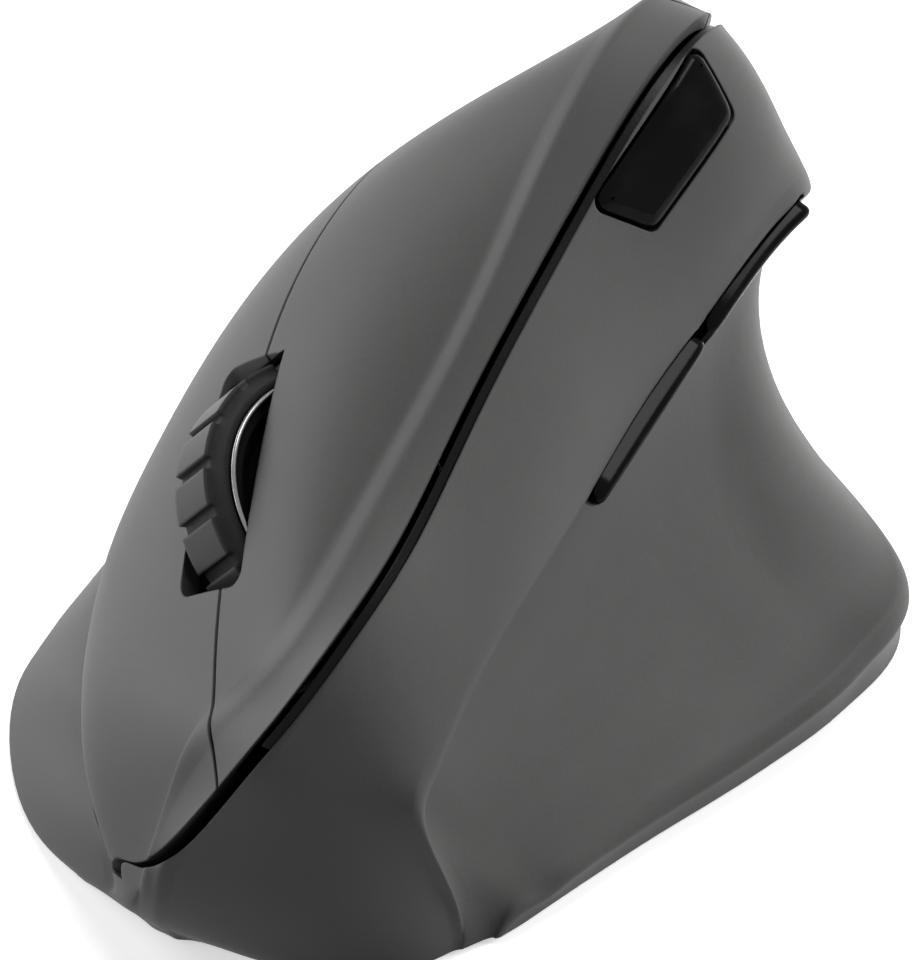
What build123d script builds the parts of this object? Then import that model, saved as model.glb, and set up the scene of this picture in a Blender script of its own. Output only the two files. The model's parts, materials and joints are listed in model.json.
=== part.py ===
from build123d import *

from math import atan2, cos, degrees, hypot, radians, sin, sqrt
import os

# A right-handed vertical mouse, built as separate pieces in millimetres.
# The origin is on the desk under the middle of the mouse.
# X points to the finger side, Y points to the front and Z points up.

# Overall size that the share tables below refer to
LENGTH = 118.0
WIDTH = 80.0
HEIGHT = 70.0
WHOLE_SHARE = 1000

# Middle of the outline in the frame that the pieces are drawn in
MIDDLE_ACROSS = 0.95
MIDDLE_FORWARD = -5.5

# Feature lines of the outer form, front to rear.
# Each point is (across, forward, up) in thousandths of the width, length and height.
BASE_RIGHT_SHARES = [
    (188, 377, -43), (200, 392, 0), (275, 373, 0), (362, 331, 0), (444, 263, 0), (491, 169, 0),
    (506, 34, 0), (494, -119, 0), (462, -254, 0), (375, -390, 0), (250, -483, 0), (138, -534, 0),
]
SEAM_SHARES = [
    (138, 386, -43), (138, 408, 21), (81, 424, 93), (116, 405, 129), (181, 361, 143),
    (256, 301, 171), (331, 229, 161), (394, 144, 171), (425, 0, 179), (438, -169, 171),
    (388, -339, 143), (262, -462, 100), (181, -513, 43),
]
LOWER_FACE_SHARES = [
    (88, 392, -43), (88, 419, 39), (65, 431, 100), (100, 414, 157), (175, 360, 243),
    (272, 254, 300), (348, 136, 357), (404, -17, 400), (419, -169, 400), (375, -305, 343),
    (269, -432, 243), (179, -508, 114), (156, -532, 46),
]
UPPER_FACE_SHARES = [
    (50, 394, -43), (56, 424, 43), (31, 441, 114), (12, 428, 200), (19, 381, 343), (62, 280, 479),
    (144, 169, 564), (225, 25, 643), (256, -85, 679), (262, -203, 676), (238, -305, 593),
    (188, -415, 429), (150, -500, 200), (145, -534, 51),
]
BAND_EDGE_SHARES = [
    (25, 394, -43), (38, 425, 44), (12, 443, 129), (0, 414, 271), (-25, 386, 371), (-94, 335, 514),
    (-94, 246, 593), (-81, 161, 650), (-69, 68, 721), (-44, -34, 807), (-12, -153, 896),
    (0, -237, 951), (12, -305, 943), (50, -390, 800), (100, -466, 571), (128, -508, 343),
    (135, -532, 143), (134, -537, 53),
]
RIDGE_SHARES = [
    (-6, 394, -43), (12, 425, 43), (-6, 442, 129), (-31, 438, 243), (-95, 418, 364),
    (-154, 369, 504), (-173, 305, 579), (-154, 195, 631), (-123, 88, 704), (-108, -17, 780),
    (-88, -127, 857), (-82, -220, 926), (-79, -280, 957), (-62, -326, 910), (-6, -390, 779),
    (50, -458, 571), (95, -508, 343), (116, -533, 140), (123, -538, 53),
]
STRIP_SHARES = [
    (-112, 369, -43), (-100, 397, 21), (-138, 397, 71), (-171, 390, 143), (-212, 364, 243),
    (-238, 326, 371), (-231, 271, 450), (-206, 169, 536), (-181, 34, 614), (-159, -110, 696),
    (-156, -229, 786), (-154, -314, 814), (-112, -381, 700), (-31, -458, 493), (45, -508, 286),
    (100, -535, 71),
]
CREASE_SHARES = [
    (-262, 356, -100), (-290, 305, 0), (-296, 280, 67), (-279, 307, 157), (-281, 318, 243),
    (-270, 303, 307), (-262, 263, 379), (-250, 201, 429), (-238, 119, 471), (-220, 17, 507),
    (-205, -76, 543), (-200, -169, 593), (-204, -271, 657), (-212, -326, 679), (-169, -377, 600),
    (-94, -432, 479), (-12, -483, 300), (78, -531, 69),
]
HOLLOW_SHARES = [
    (-275, 339, -129), (-300, 288, -14), (-304, 271, 43), (-275, 284, 114), (-238, 229, 214),
    (-206, 119, 286), (-175, 0, 329), (-156, -127, 357), (-144, -237, 379), (-135, -339, 371),
    (-50, -424, 257), (25, -487, 136), (62, -522, 51),
]
THUMB_REST_SHARES = [
    (-275, 322, -157), (-312, 271, -29), (-319, 258, 14), (-306, 246, 71), (-294, 186, 114),
    (-275, 68, 157), (-262, -68, 171), (-256, -186, 179), (-250, -331, 164), (-138, -407, 114),
    (-12, -477, 61), (45, -508, 27),
]
REST_EDGE_SHARES = [
    (-275, 305, -186), (-312, 267, -57), (-328, 254, 14), (-354, 203, 43), (-388, 102, 57),
    (-444, -34, 71), (-479, -153, 93), (-475, -237, 107), (-406, -309, 86), (-275, -369, 71),
    (-125, -428, 57), (-6, -486, 24),
]
BASE_LEFT_SHARES = [
    (-281, 305, -229), (-312, 267, -86), (-331, 246, -14), (-350, 186, 0), (-384, 85, 0),
    (-432, -42, 0), (-460, -161, 0), (-454, -250, 0), (-375, -326, 0), (-238, -386, 0),
    (-88, -449, 0), (-19, -486, -3),
]
GROOVE_SHARES = [
    (81, 429, 103), (42, 441, 157), (-31, 438, 243), (-95, 418, 364), (-154, 369, 504),
    (-173, 305, 579), (-154, 195, 631), (-123, 88, 704), (-108, -17, 780), (-88, -127, 857),
    (-82, -220, 926), (-79, -280, 957), (-62, -326, 910), (-6, -390, 779), (50, -458, 571),
    (95, -508, 343), (116, -533, 140), (123, -538, 53),
]

# Half-lines that fan out from one axis under the mouse carry the sections of the form
FAN_FORWARD_SHARE = -42
FAN_UP_SHARE = -571
FAN_ANGLES = (36.4, 38.2, 40.2, 42.5, 46, 50, 54.5, 60, 67, 75, 84, 93, 101, 107, 113, 120, 127, 133, 138, 141, 143)
INNER_ANGLES = (52, 56, 61, 67, 75, 84, 93, 101, 107, 113, 120, 125, 130)

# Rounding of the form where two sides of a section meet
SEAM_ROUNDING = 1.6
BAND_ROUNDING = 2.6
RIDGE_ROUNDING = 1.6
CREASE_ROUNDING = 1.4
REST_ROUNDING = 2.2
ROUNDING_LIMIT_SHARE = 0.45
ROUNDING_FULLNESS_SHARE = 0.37
SKIRT_BOW_SHARE = -0.03
BAND_BOW_SHARE = 0.03
REST_EDGE_BOW_SHARE = 0.03
MITRE_LIMIT_SHARE = 0.6
BELOW_DESK = 20.0

# Shell
WALL = 2.0
BASE_LIFT = 0.6


def place(shares):
    """Point in space for one row of a share table."""
    across, forward, up = shares
    return Vector(
        across * WIDTH / WHOLE_SHARE,
        forward * LENGTH / WHOLE_SHARE,
        up * HEIGHT / WHOLE_SHARE,
    )


FAN_FORWARD = FAN_FORWARD_SHARE * LENGTH / WHOLE_SHARE
FAN_UP = FAN_UP_SHARE * HEIGHT / WHOLE_SHARE


def fan_place(point):
    """Angle in the fan, position across and distance from the fan axis."""
    forward = point.Y - FAN_FORWARD
    up = point.Z - FAN_UP
    return degrees(atan2(up, forward)), point.X, hypot(forward, up)


def slopes(angles, values):
    """Slope of a smooth curve at each of its points."""
    steps = [b - a for a, b in zip(angles, angles[1:])]
    rates = [(b - a) / step for a, b, step in zip(values, values[1:], steps)]
    inner = [
        (rates[i] * steps[i + 1] + rates[i + 1] * steps[i]) / (steps[i] + steps[i + 1])
        for i in range(len(rates) - 1)
    ]
    return [rates[0]] + inner + [rates[-1]]


def smooth_value(angles, values, angle):
    """Value of the smooth curve through the points at one angle."""
    rates = slopes(angles, values)
    if angle <= angles[0]:
        return values[0] + rates[0] * (angle - angles[0])
    if angle >= angles[-1]:
        return values[-1] + rates[-1] * (angle - angles[-1])
    index = max(i for i in range(len(angles) - 1) if angles[i] <= angle)
    step = angles[index + 1] - angles[index]
    t = (angle - angles[index]) / step
    start = values[index] * (1 + 2 * t) + rates[index] * step * t
    end = values[index + 1] * (3 - 2 * t) - rates[index + 1] * step * (1 - t)
    return start * (1 - t) ** 2 + end * t**2


def line_at(table, angle):
    """Where a feature line crosses one plane of the fan, as (across, distance)."""
    rows = sorted(fan_place(place(shares)) for shares in table)
    angles = [row[0] for row in rows]
    across = smooth_value(angles, [row[1] for row in rows], angle)
    distance = smooth_value(angles, [row[2] for row in rows], angle)
    return Vector(across, distance)


def out_of_plane(point, angle):
    """Point in space for a point (across, distance) of one plane of the fan."""
    turn = radians(angle)
    return Vector(
        point.X,
        FAN_FORWARD + point.Y * cos(turn),
        FAN_UP + point.Y * sin(turn),
    )


def inward(before, after):
    """Unit vector that points into the form beside the line from before to after."""
    along = (after - before).normalized()
    return Vector(-along.Y, along.X)


def inset_points(points, depth):
    """The points of one section moved into the form by one depth."""
    moved = []
    for index, point in enumerate(points):
        before = points[max(index - 1, 0)]
        after = points[min(index + 1, len(points) - 1)]
        first = inward(before, point) if index > 0 else inward(point, after)
        second = inward(point, after) if index < len(points) - 1 else first
        spread = max(1 + first.dot(second), MITRE_LIMIT_SHARE)
        moved.append(point + (first + second) * (depth / spread))
    return moved


def cubic_through(start, first, second, end):
    """Control points of the cubic that passes through two points between its ends."""
    gaps = [sqrt((b - a).length) for a, b in ((start, first), (first, second), (second, end))]
    u = gaps[0] / sum(gaps)
    v = (gaps[0] + gaps[1]) / sum(gaps)
    a, b = 3 * (1 - u) ** 2 * u, 3 * (1 - u) * u**2
    c, d = 3 * (1 - v) ** 2 * v, 3 * (1 - v) * v**2
    left = first - start * (1 - u) ** 3 - end * u**3
    right = second - start * (1 - v) ** 3 - end * v**3
    scale = 1 / (a * d - b * c)
    return [start, (left * d - right * b) * scale, (right * a - left * c) * scale, end]


def curve_through(start, middle, end):
    """Control points of the simple curve that passes through one point between its ends."""
    first = sqrt((middle - start).length)
    second = sqrt((end - middle).length)
    u = first / (first + second)
    pull = (middle - start * (1 - u) ** 2 - end * u**2) * (1 / (2 * u * (1 - u)))
    return [start, start + (pull - start) * (2 / 3), end + (pull - end) * (2 / 3), end]


def trimmed(corner, toward, rounding):
    """Point a little way along a side, where the rounding of the corner ends."""
    side = toward - corner
    return corner + side * min(rounding / side.length, ROUNDING_LIMIT_SHARE)


def side_curve(start, end, start_rounding, end_rounding, between):
    """One side of a section between two rounded corners."""
    first = trimmed(start, between[0], start_rounding)
    last = trimmed(end, between[-1], end_rounding)
    if len(between) == 1:
        return curve_through(first, between[0], last)
    return cubic_through(first, between[0], between[1], last)


def bowed(start, end, bow_share):
    """Two points between start and end that give the side a slight bow."""
    side = end - start
    bulge = Vector(side.Y, -side.X) * -bow_share
    return [start + side * (1 / 3) + bulge, start + side * (2 / 3) + bulge]


def corner_curve(before, after):
    """Control points of the rounding between the ends of two sides."""
    start, end = before[3], after[0]
    reach = (end - start).length * ROUNDING_FULLNESS_SHARE
    leave = (before[3] - before[2]).normalized() * reach
    arrive = (after[1] - after[0]).normalized() * reach
    return [start, start + leave, end - arrive, end]


def section_curves(angle, depth):
    """Control points of all curves of one section, from the right side over to the left."""
    tables = (
        BASE_RIGHT_SHARES, SEAM_SHARES, LOWER_FACE_SHARES, UPPER_FACE_SHARES, BAND_EDGE_SHARES,
        RIDGE_SHARES, STRIP_SHARES, CREASE_SHARES, HOLLOW_SHARES, THUMB_REST_SHARES,
        REST_EDGE_SHARES, BASE_LEFT_SHARES,
    )
    points = inset_points([line_at(table, angle) for table in tables], depth)
    base_right, seam, lower, upper, band, ridge = points[:6]
    strip, crease, hollow, rest, rest_edge, base_left = points[6:]
    sides = [
        side_curve(base_right, seam, 0, SEAM_ROUNDING, bowed(base_right, seam, SKIRT_BOW_SHARE)),
        side_curve(seam, band, SEAM_ROUNDING, BAND_ROUNDING, [lower, upper]),
        side_curve(band, ridge, BAND_ROUNDING, RIDGE_ROUNDING, bowed(band, ridge, BAND_BOW_SHARE)),
        side_curve(ridge, crease, RIDGE_ROUNDING, CREASE_ROUNDING, [strip]),
        side_curve(crease, rest_edge, CREASE_ROUNDING, REST_ROUNDING, [hollow, rest]),
        side_curve(
            rest_edge, base_left, REST_ROUNDING, 0,
            bowed(rest_edge, base_left, REST_EDGE_BOW_SHARE),
        ),
    ]
    curves = [sides[0]]
    for before, after in zip(sides, sides[1:]):
        curves.append(corner_curve(before, after))
        curves.append(after)
    return curves


def section(angle, depth):
    """Closed section of the form in one plane of the fan."""
    curves = section_curves(angle, depth)
    edges = [
        Edge.make_bezier(*[out_of_plane(point, angle) for point in curve])
        for curve in curves
    ]
    floor = (-BELOW_DESK - FAN_UP) / sin(radians(angle))
    start = out_of_plane(curves[0][0], angle)
    end = out_of_plane(curves[-1][-1], angle)
    low_start = out_of_plane(Vector(curves[0][0].X, floor), angle)
    low_end = out_of_plane(Vector(curves[-1][-1].X, floor), angle)
    edges.append(Edge.make_line(end, low_end))
    edges.append(Edge.make_line(low_end, low_start))
    edges.append(Edge.make_line(low_start, start))
    return Wire(edges)


def cavity_section(angle, depth):
    """Plainer section of the hollow inside the shell in one plane of the fan."""
    tables = (
        BASE_RIGHT_SHARES, SEAM_SHARES, LOWER_FACE_SHARES, UPPER_FACE_SHARES, BAND_EDGE_SHARES,
        RIDGE_SHARES, STRIP_SHARES, CREASE_SHARES, HOLLOW_SHARES, THUMB_REST_SHARES,
    )
    points = inset_points([line_at(table, angle) for table in tables], depth)
    base_right, seam, lower, upper, band, ridge, strip, crease, hollow, rest = points
    floor = (-BELOW_DESK - FAN_UP) / sin(radians(angle))
    low_right = Vector(base_right.X, floor)
    low_left = Vector(rest.X, floor)
    curves = [
        [low_right, base_right],
        [base_right, seam],
        cubic_through(seam, lower, upper, band),
        [band, ridge],
        curve_through(ridge, strip, crease),
        curve_through(crease, hollow, rest),
        [rest, low_left],
        [low_left, low_right],
    ]
    edges = [
        Edge.make_bezier(*[out_of_plane(point, angle) for point in curve])
        for curve in curves
    ]
    return Wire(edges)


def form(depth):
    """The whole outer form, or the same form grown or shrunk by one depth."""
    return Solid.make_loft([section(angle, depth) for angle in FAN_ANGLES])


def cavity(depth):
    """The hollow inside the shell at one depth below the outer form."""
    return Solid.make_loft([cavity_section(angle, depth) for angle in INNER_ANGLES])


# Groove between the finger plates and the side, and the line above the finger rest
GROOVE_PLATE_SIDE = 0.9
GROOVE_HOUSING_SIDE = 0.7
SEAM_HALF_GAP = 0.4
APEX_DEPTH = 6.0
APEX_SHARE = 160
CUT_REACH = 34.0
CUT_ANGLES = (40.9, 43, 46, 50, 54.5, 60, 67, 75, 84, 93, 101, 107, 113, 120, 127, 133, 138, 141)
PLATE_FIRST_ANGLE = 41.8
PLATE_LAST_ANGLE = 140.0

# Finger plates
PLATE_GAP = 0.4
SPLIT_ACROSS = 23.3
PALM_LINE_ACROSS = 16.0
PALM_LINE_FORWARD = -24.0
PALM_LINE_ANGLE = -38.0
ROOM = 300.0

# The frame of the finger plates and the wheel: forward, across and out of the face
FACE_TILT = 38.7
FACE = Plane(
    origin=(0, 0, 0),
    x_dir=(0, 1, 0),
    z_dir=(cos(radians(FACE_TILT)), 0, sin(radians(FACE_TILT))),
)

# Wheel and its slot
WHEEL_FORWARD = 16.0
WHEEL_ACROSS = 21.3
WHEEL_OUT = 23.4
WHEEL_RADIUS = 15.2
WHEEL_WIDTH = 7.8
SLOT_REAR = 10.6
SLOT_FRONT = 33.4
SLOT_ACROSS = 21.4
SLOT_WIDTH = 9.2
SLOT_ROUNDING = 1.6
TYRE_GAP = 0.6


def on_face(forward, across, out, part):
    """The part moved to a place given in the frame of the finger plates."""
    return (FACE.location * Pos(forward, across, out)) * part


def across_ray(apex, edge, toward):
    """Directions along and beside the ray from apex through edge, beside it toward a point."""
    along = (edge - apex).normalized()
    beside = Vector(-along.Y, along.X)
    if beside.dot(toward - edge) < 0:
        beside = beside * -1
    return along, beside


def wedge_section(angle, groove_shift, seam_shift):
    """Outline of the region between the groove and the seam in one plane of the fan."""
    groove = line_at(GROOVE_SHARES, angle)
    seam = line_at(SEAM_SHARES, angle)
    middle = (groove + seam) * 0.5
    chord = groove - seam
    inside = Vector(-chord.Y, chord.X).normalized()
    apex = middle + inside * (APEX_DEPTH + chord.length * APEX_SHARE / WHOLE_SHARE)
    groove_along, groove_beside = across_ray(apex, groove, seam)
    seam_along, seam_beside = across_ray(apex, seam, groove)
    mix = groove_beside.dot(seam_beside)
    scale = 1 / (1 - mix * mix)
    move = groove_beside * ((groove_shift - seam_shift * mix) * scale)
    move = move + seam_beside * ((seam_shift - groove_shift * mix) * scale)
    corners = [
        apex + move,
        groove + groove_along * CUT_REACH + groove_beside * groove_shift,
        middle - inside * (CUT_REACH + chord.length / 2),
        seam + seam_along * CUT_REACH + seam_beside * seam_shift,
    ]
    return Wire(Polyline(*[out_of_plane(corner, angle) for corner in corners], close=True).edges())


def wedge(groove_shift, seam_shift):
    """Solid that takes in the region of the finger plates."""
    return Solid.make_loft(
        [wedge_section(angle, groove_shift, seam_shift) for angle in CUT_ANGLES]
    )


def fan_side(angle):
    """Everything behind one plane of the fan."""
    half = Pos(0, 0, ROOM / 2) * Box(ROOM, 2 * ROOM, ROOM)
    return Pos(0, FAN_FORWARD, FAN_UP) * Rot(angle, 0, 0) * half


def above_desk(part):
    """The part of a body above the lower rim of the mouse."""
    return part & Pos(0, 0, BASE_LIFT + ROOM / 2) * Box(ROOM, ROOM, ROOM)


# Keys on the thumb side
KEY_GAP = 0.35
DPI_PLACE = (-9.6, -22.5, 58.6)
DPI_FORWARD_SHARES = (-86, 943, -321)
DPI_OUTWARD_SHARES = (-849, 100, 519)
DPI_CORNERS = ((-11.2, -3.5), (-8.5, 4.2), (6.7, 4.2), (10.3, -3.5))
DPI_ROUNDING = 1.0
DPI_RISE = 0.7
DPI_TRAVEL = 0.4
THUMB_PLACE = (-15.6, -18.0, 37.5)
THUMB_FORWARD_SHARES = (75, 968, -238)
THUMB_OUTWARD_SHARES = (-954, 0, -301)
FORWARD_CORNERS = ((20.5, -2.7), (18.3, 3.2), (0.5, 3.6), (-3.2, -2.4))
BACK_CORNERS = ((-4.0, -2.5), (-0.3, 3.6), (-19.0, 2.4), (-23.0, -3.2))
THUMB_ROUNDING = 0.8
THUMB_RISE = 1.2
KEY_DEPTH = 12.0

# Small switches and boards
TACT_SIZE = 6.0
TACT_HEIGHT = 3.4
TACT_BUTTON_RADIUS = 1.7
TACT_BUTTON_HEIGHT = 0.7
BOARD_THICKNESS = 1.2
POST_RADIUS = 1.6
PART_GAP = 0.3
THUMB_BOARD_DEPTH = 9.4
THUMB_BOARD_LENGTH = 38.0
THUMB_BOARD_HEIGHT = 11.6
THUMB_BOARD_DOWN = 2.4
THUMB_BOARD_FORWARD = -1.0
FORWARD_SWITCH_PLACE = 9.5
BACK_SWITCH_PLACE = -12.5
THUMB_POST_PLACES = ((14.0, 6.6), (-17.0, 6.4))
DPI_BOARD_DEPTH = 7.2
DPI_BOARD_LENGTH = 16.0
DPI_BOARD_HEIGHT = 13.0
DPI_BOARD_DOWN = 2.5
DPI_POST_PLACES = ((5.0, 7.0), (-6.0, 7.0))
BOARD_POST_REACH = 6.0

# Main switches, board and frame under the finger plates
MAIN_SWITCH_LENGTH = 12.8
MAIN_SWITCH_WIDTH = 5.8
MAIN_SWITCH_HEIGHT = 6.5
PLUNGER_LENGTH = 2.4
PLUNGER_WIDTH = 1.4
PLUNGER_HEIGHT = 0.6
PLUNGER_FORWARD = 3.2
LEFT_SWITCH_ACROSS = 31.4
RIGHT_SWITCH_ACROSS = 10.0
MAIN_SWITCH_FORWARD = 25.4
CLICK_GAP = 0.75
POST_WIDTH = 2.4
BUTTON_BOARD_OUT = 10.5
BOARD_REAR = 4.0
BOARD_FRONT = 32.5
BOARD_LOW = 7.0
BOARD_HIGH = 34.6
BOARD_CUT_LENGTH = 22.0
BOARD_CUT_WIDTH = 9.6
FRAME_THICKNESS = 1.6
FRAME_INSET = 0.6
LEG_SIZE = 2.6
LEG_ACROSS = 3.4
LEG_FORWARDS = (8.0, 25.0)
LEG_TOP = 12.0
WALL_POST_FORWARDS = (12.0, 28.0)
WALL_POST_ACROSS = 30.0
WALL_POST_LENGTH = 20.0

# Wheel parts
RING_RADIUS = 12.9
RING_WIDTH = 1.1
RING_HEIGHT = 0.5
TYRE_DEPTH = 2.4
TYRE_CHAMFER = 1.0
PAD_COUNT = 18
PAD_HEIGHT = 0.7
PAD_WIDTH = 6.0
PAD_LENGTH = 3.9
HUB_WIDTH = 7.0
HUB_FIT = 0.04
HUB_DISH = 1.4
HUB_DISH_RADIUS = 11.2
HUB_BOSS_RADIUS = 3.2
AXLE_RADIUS = 1.5
AXLE_FIT = 0.04
AXLE_LOW_END = 13.0
AXLE_HIGH_END = 27.6
CARRIER_ARM = 1.2
CARRIER_ARM_GAP = 0.8
CARRIER_LOW = 13.2
CARRIER_BAR_PLACE = 17.4
CARRIER_BAR = 1.8
CARRIER_BAR_HEIGHT = 3.0
CARRIER_ARM_LENGTH = 7.0
CARRIER_EYE_RADIUS = 2.8
ENCODER_SIZE = 7.0
ENCODER_WIDTH = 3.4
MIDDLE_SWITCH_FORWARD = 8.0
MIDDLE_SWITCH_ACROSS = 30.8
TAB_LENGTH = 4.0
TAB_THICKNESS = 1.4
WHEEL_PRESS = 0.6

# Groove trim
TRIM_TOP = 1.5
TRIM_BOTTOM = 3.8
TRIM_FIT = 0.05
TRIM_PLATE_SIDE = 0.3
TRIM_OVERHANG = 0.5
TRIM_FIRST_ANGLE = 54.0
TRIM_LAST_ANGLE = 127.0

# Bottom
COVER_UNDERSIDE = 0.9
COVER_THICKNESS = 2.0
COVER_FIT = 0.3
COVER_TOP = COVER_UNDERSIDE + COVER_THICKNESS
BATTERY_RADIUS = 7.2
BATTERY_LENGTH = 49.2
BATTERY_TIP_RADIUS = 2.7
BATTERY_TIP_LENGTH = 1.3
BATTERY_ACROSS = 14.0
BATTERY_REAR = -35.0
BATTERY_UP = 11.0
BAY_WALL = 1.2
BAY_SIDE_GAP = 0.5
BAY_REAR = -37.4
BAY_FRONT = 16.2
DOOR_LIP = 1.2
DOOR_THICKNESS = 1.0
DOOR_RECESS = 1.3
CONTACT_THICKNESS = 0.4
CONTACT_SIZE = 9.0
SPRING_RADIUS = 3.0
SPRING_WIRE = 0.35
SPRING_TURNS = 4
RECEIVER_ACROSS = -9.0
RECEIVER_FORWARD = -22.0
PLUG_WIDTH = 12.0
PLUG_HEIGHT = 4.5
PLUG_LENGTH = 12.5
PLUG_WALL = 0.4
CAP_WIDTH = 14.4
CAP_HEIGHT = 5.8
CAP_LENGTH = 6.5
DOCK_WALL = 1.0
DOCK_GAP = 0.4
RECEIVER_UP = 4.2
MAIN_BOARD_UP = 7.4
MAIN_BOARD_LEFT = -14.2
MAIN_BOARD_RIGHT = 1.0
MAIN_BOARD_REAR = -8.0
MAIN_BOARD_FRONT = 25.0
SENSOR_ACROSS = -5.0
SENSOR_FORWARD = 3.0
SENSOR_WINDOW_LENGTH = 12.0
SENSOR_WINDOW_WIDTH = 8.0
SENSOR_BODY_LENGTH = 10.9
SENSOR_BODY_WIDTH = 9.1
SENSOR_BODY_HEIGHT = 3.0
LENS_PLATE = 1.4
LENS_WIDTH = 10.0
LENS_LENGTH = 14.4
LENS_RADIUS = 2.2
POWER_ACROSS = -8.0
POWER_FORWARD = 17.0
POWER_BODY_LENGTH = 8.6
POWER_BODY_WIDTH = 3.8
POWER_BODY_HEIGHT = 2.6
POWER_KNOB_LENGTH = 4.0
POWER_KNOB_WIDTH = 3.0
POWER_TRAVEL = 2.5
POWER_SLOT_GAP = 0.4
FOOT_THICKNESS = 0.9
FOOT_SINK = 0.35
FRONT_FOOT_PLACE = (2.0, 38.5)
FRONT_FOOT_SIZE = (24.0, 7.0)
REAR_FOOT_PLACE = (7.0, -48.5)
REAR_FOOT_SIZE = (20.0, 6.0)
THUMB_FOOT_PLACE = (-29.0, -16.0)
THUMB_FOOT_SIZE = (6.0, 22.0)
SCREW_PLACES = ((-17.6, 9.5, 180), (32.5, 14.0, 0), (32.4, -23.0, 0), (-10.0, -36.6, -90))
BOSS_TOP = 9.0
BOSS_WEB = 9.0
BOSS_WEB_WIDTH = 1.6
SCREW_HEAD_RADIUS = 2.4
SCREW_HEAD_HEIGHT = 1.1
SCREW_HEAD_TOP = COVER_UNDERSIDE + 1.2
SCREW_RADIUS = 1.0
SCREW_LENGTH = 6.0
SCREW_FIT = 0.05
SCREW_CROSS = 0.6
BOSS_RADIUS = 2.8


def axes_plane(origin, forward_shares, outward_shares):
    """Plane with x forward along the body and z out of the surface."""
    return Plane(
        origin=origin,
        x_dir=Vector(*forward_shares).normalized(),
        z_dir=Vector(*outward_shares).normalized(),
    )


DPI_PLANE = axes_plane(DPI_PLACE, DPI_FORWARD_SHARES, DPI_OUTWARD_SHARES)
THUMB_PLANE = axes_plane(THUMB_PLACE, THUMB_FORWARD_SHARES, THUMB_OUTWARD_SHARES)


def on_plane(plane, forward, down, out, part):
    """The part moved to a place given in the frame of one plane."""
    return (plane.location * Pos(forward, down, out)) * part


def block(x_range, y_range, z_range):
    """Box between two values on each axis."""
    size = [high - low for low, high in (x_range, y_range, z_range)]
    middle = [(high + low) / 2 for low, high in (x_range, y_range, z_range)]
    return Pos(*middle) * Box(*size)


def face_block(forward_range, across_range, out_range):
    """Box between two values on each axis of the frame of the finger plates."""
    return FACE.location * block(forward_range, across_range, out_range)


def across_cylinder(radius, low, high):
    """Cylinder along the wheel axis between two places across."""
    return Pos(0, (low + high) / 2, 0) * Rot(90, 0, 0) * Cylinder(radius, high - low)


def at_wheel(part):
    """The part moved from the origin to the wheel axis."""
    return on_face(WHEEL_FORWARD, 0, WHEEL_OUT, part)


# Skin pieces

def palm_side():
    """Everything behind the line between the finger plates and the palm cover."""
    half = Pos(0, -ROOM / 2, 0) * Box(ROOM, ROOM, ROOM)
    turn = Rot(0, 0, -PALM_LINE_ANGLE)
    return Pos(PALM_LINE_ACROSS, PALM_LINE_FORWARD, 0) * turn * half


def shifted_palm_side(shift):
    """The region behind the palm line, moved forward by a shift."""
    turn = radians(-PALM_LINE_ANGLE)
    return Pos(-sin(turn) * shift, cos(turn) * shift, 0) * palm_side()


def wheel_slot():
    """Opening for the wheel through both finger plates."""
    length = SLOT_FRONT - SLOT_REAR
    outline = RectangleRounded(length, SLOT_WIDTH, SLOT_ROUNDING)
    middle = (SLOT_FRONT + SLOT_REAR) / 2
    return on_face(middle, SLOT_ACROSS, 0, extrude(outline, amount=ROOM))


def click_post(across):
    """Post under a finger plate that presses the plunger of its switch."""
    low = BUTTON_BOARD_OUT + BOARD_THICKNESS + MAIN_SWITCH_HEIGHT + PLUNGER_HEIGHT + CLICK_GAP
    forward = MAIN_SWITCH_FORWARD + PLUNGER_FORWARD
    half = POST_WIDTH / 2
    post = face_block(
        (forward - half, forward + half), (across - half, across + half), (low, low + ROOM / 2)
    )
    return post


def make_plates(shell, inner_form):
    """The left button, the right button and the palm cover."""
    plates = shell & wedge(GROOVE_PLATE_SIDE, SEAM_HALF_GAP)
    plates = (plates & fan_side(PLATE_FIRST_ANGLE)) - fan_side(PLATE_LAST_ANGLE)
    palm = plates & shifted_palm_side(-PLATE_GAP / 2)
    fingers = plates - shifted_palm_side(PLATE_GAP / 2) - wheel_slot()
    slot_sides = (SLOT_ACROSS - SLOT_WIDTH / 2, SLOT_ACROSS + SLOT_WIDTH / 2)
    fingers -= at_wheel(across_cylinder(WHEEL_RADIUS + TYRE_GAP, *slot_sides))
    high_side = face_block(
        (-ROOM, ROOM), (SPLIT_ACROSS + PLATE_GAP / 2, SPLIT_ACROSS + ROOM), (-ROOM, ROOM)
    )
    low_side = face_block(
        (-ROOM, ROOM), (SPLIT_ACROSS - ROOM, SPLIT_ACROSS - PLATE_GAP / 2), (-ROOM, ROOM)
    )
    left = fingers & high_side
    right = fingers & low_side
    left = left + (click_post(LEFT_SWITCH_ACROSS) & inner_form)
    right = right + (click_post(RIGHT_SWITCH_ACROSS) & inner_form)
    return left, right, palm


def key_prism(plane, corners, rounding, growth):
    """Prism through the shell with the outline of one key."""
    outline = make_face(Polyline(*corners, close=True))
    if growth > 0:
        outline = offset(outline, amount=growth, kind=Kind.INTERSECTION)
    outline = fillet(outline.vertices(), rounding + growth)
    return on_plane(plane, 0, 0, -KEY_DEPTH / 2, extrude(outline, amount=KEY_DEPTH))


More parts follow.
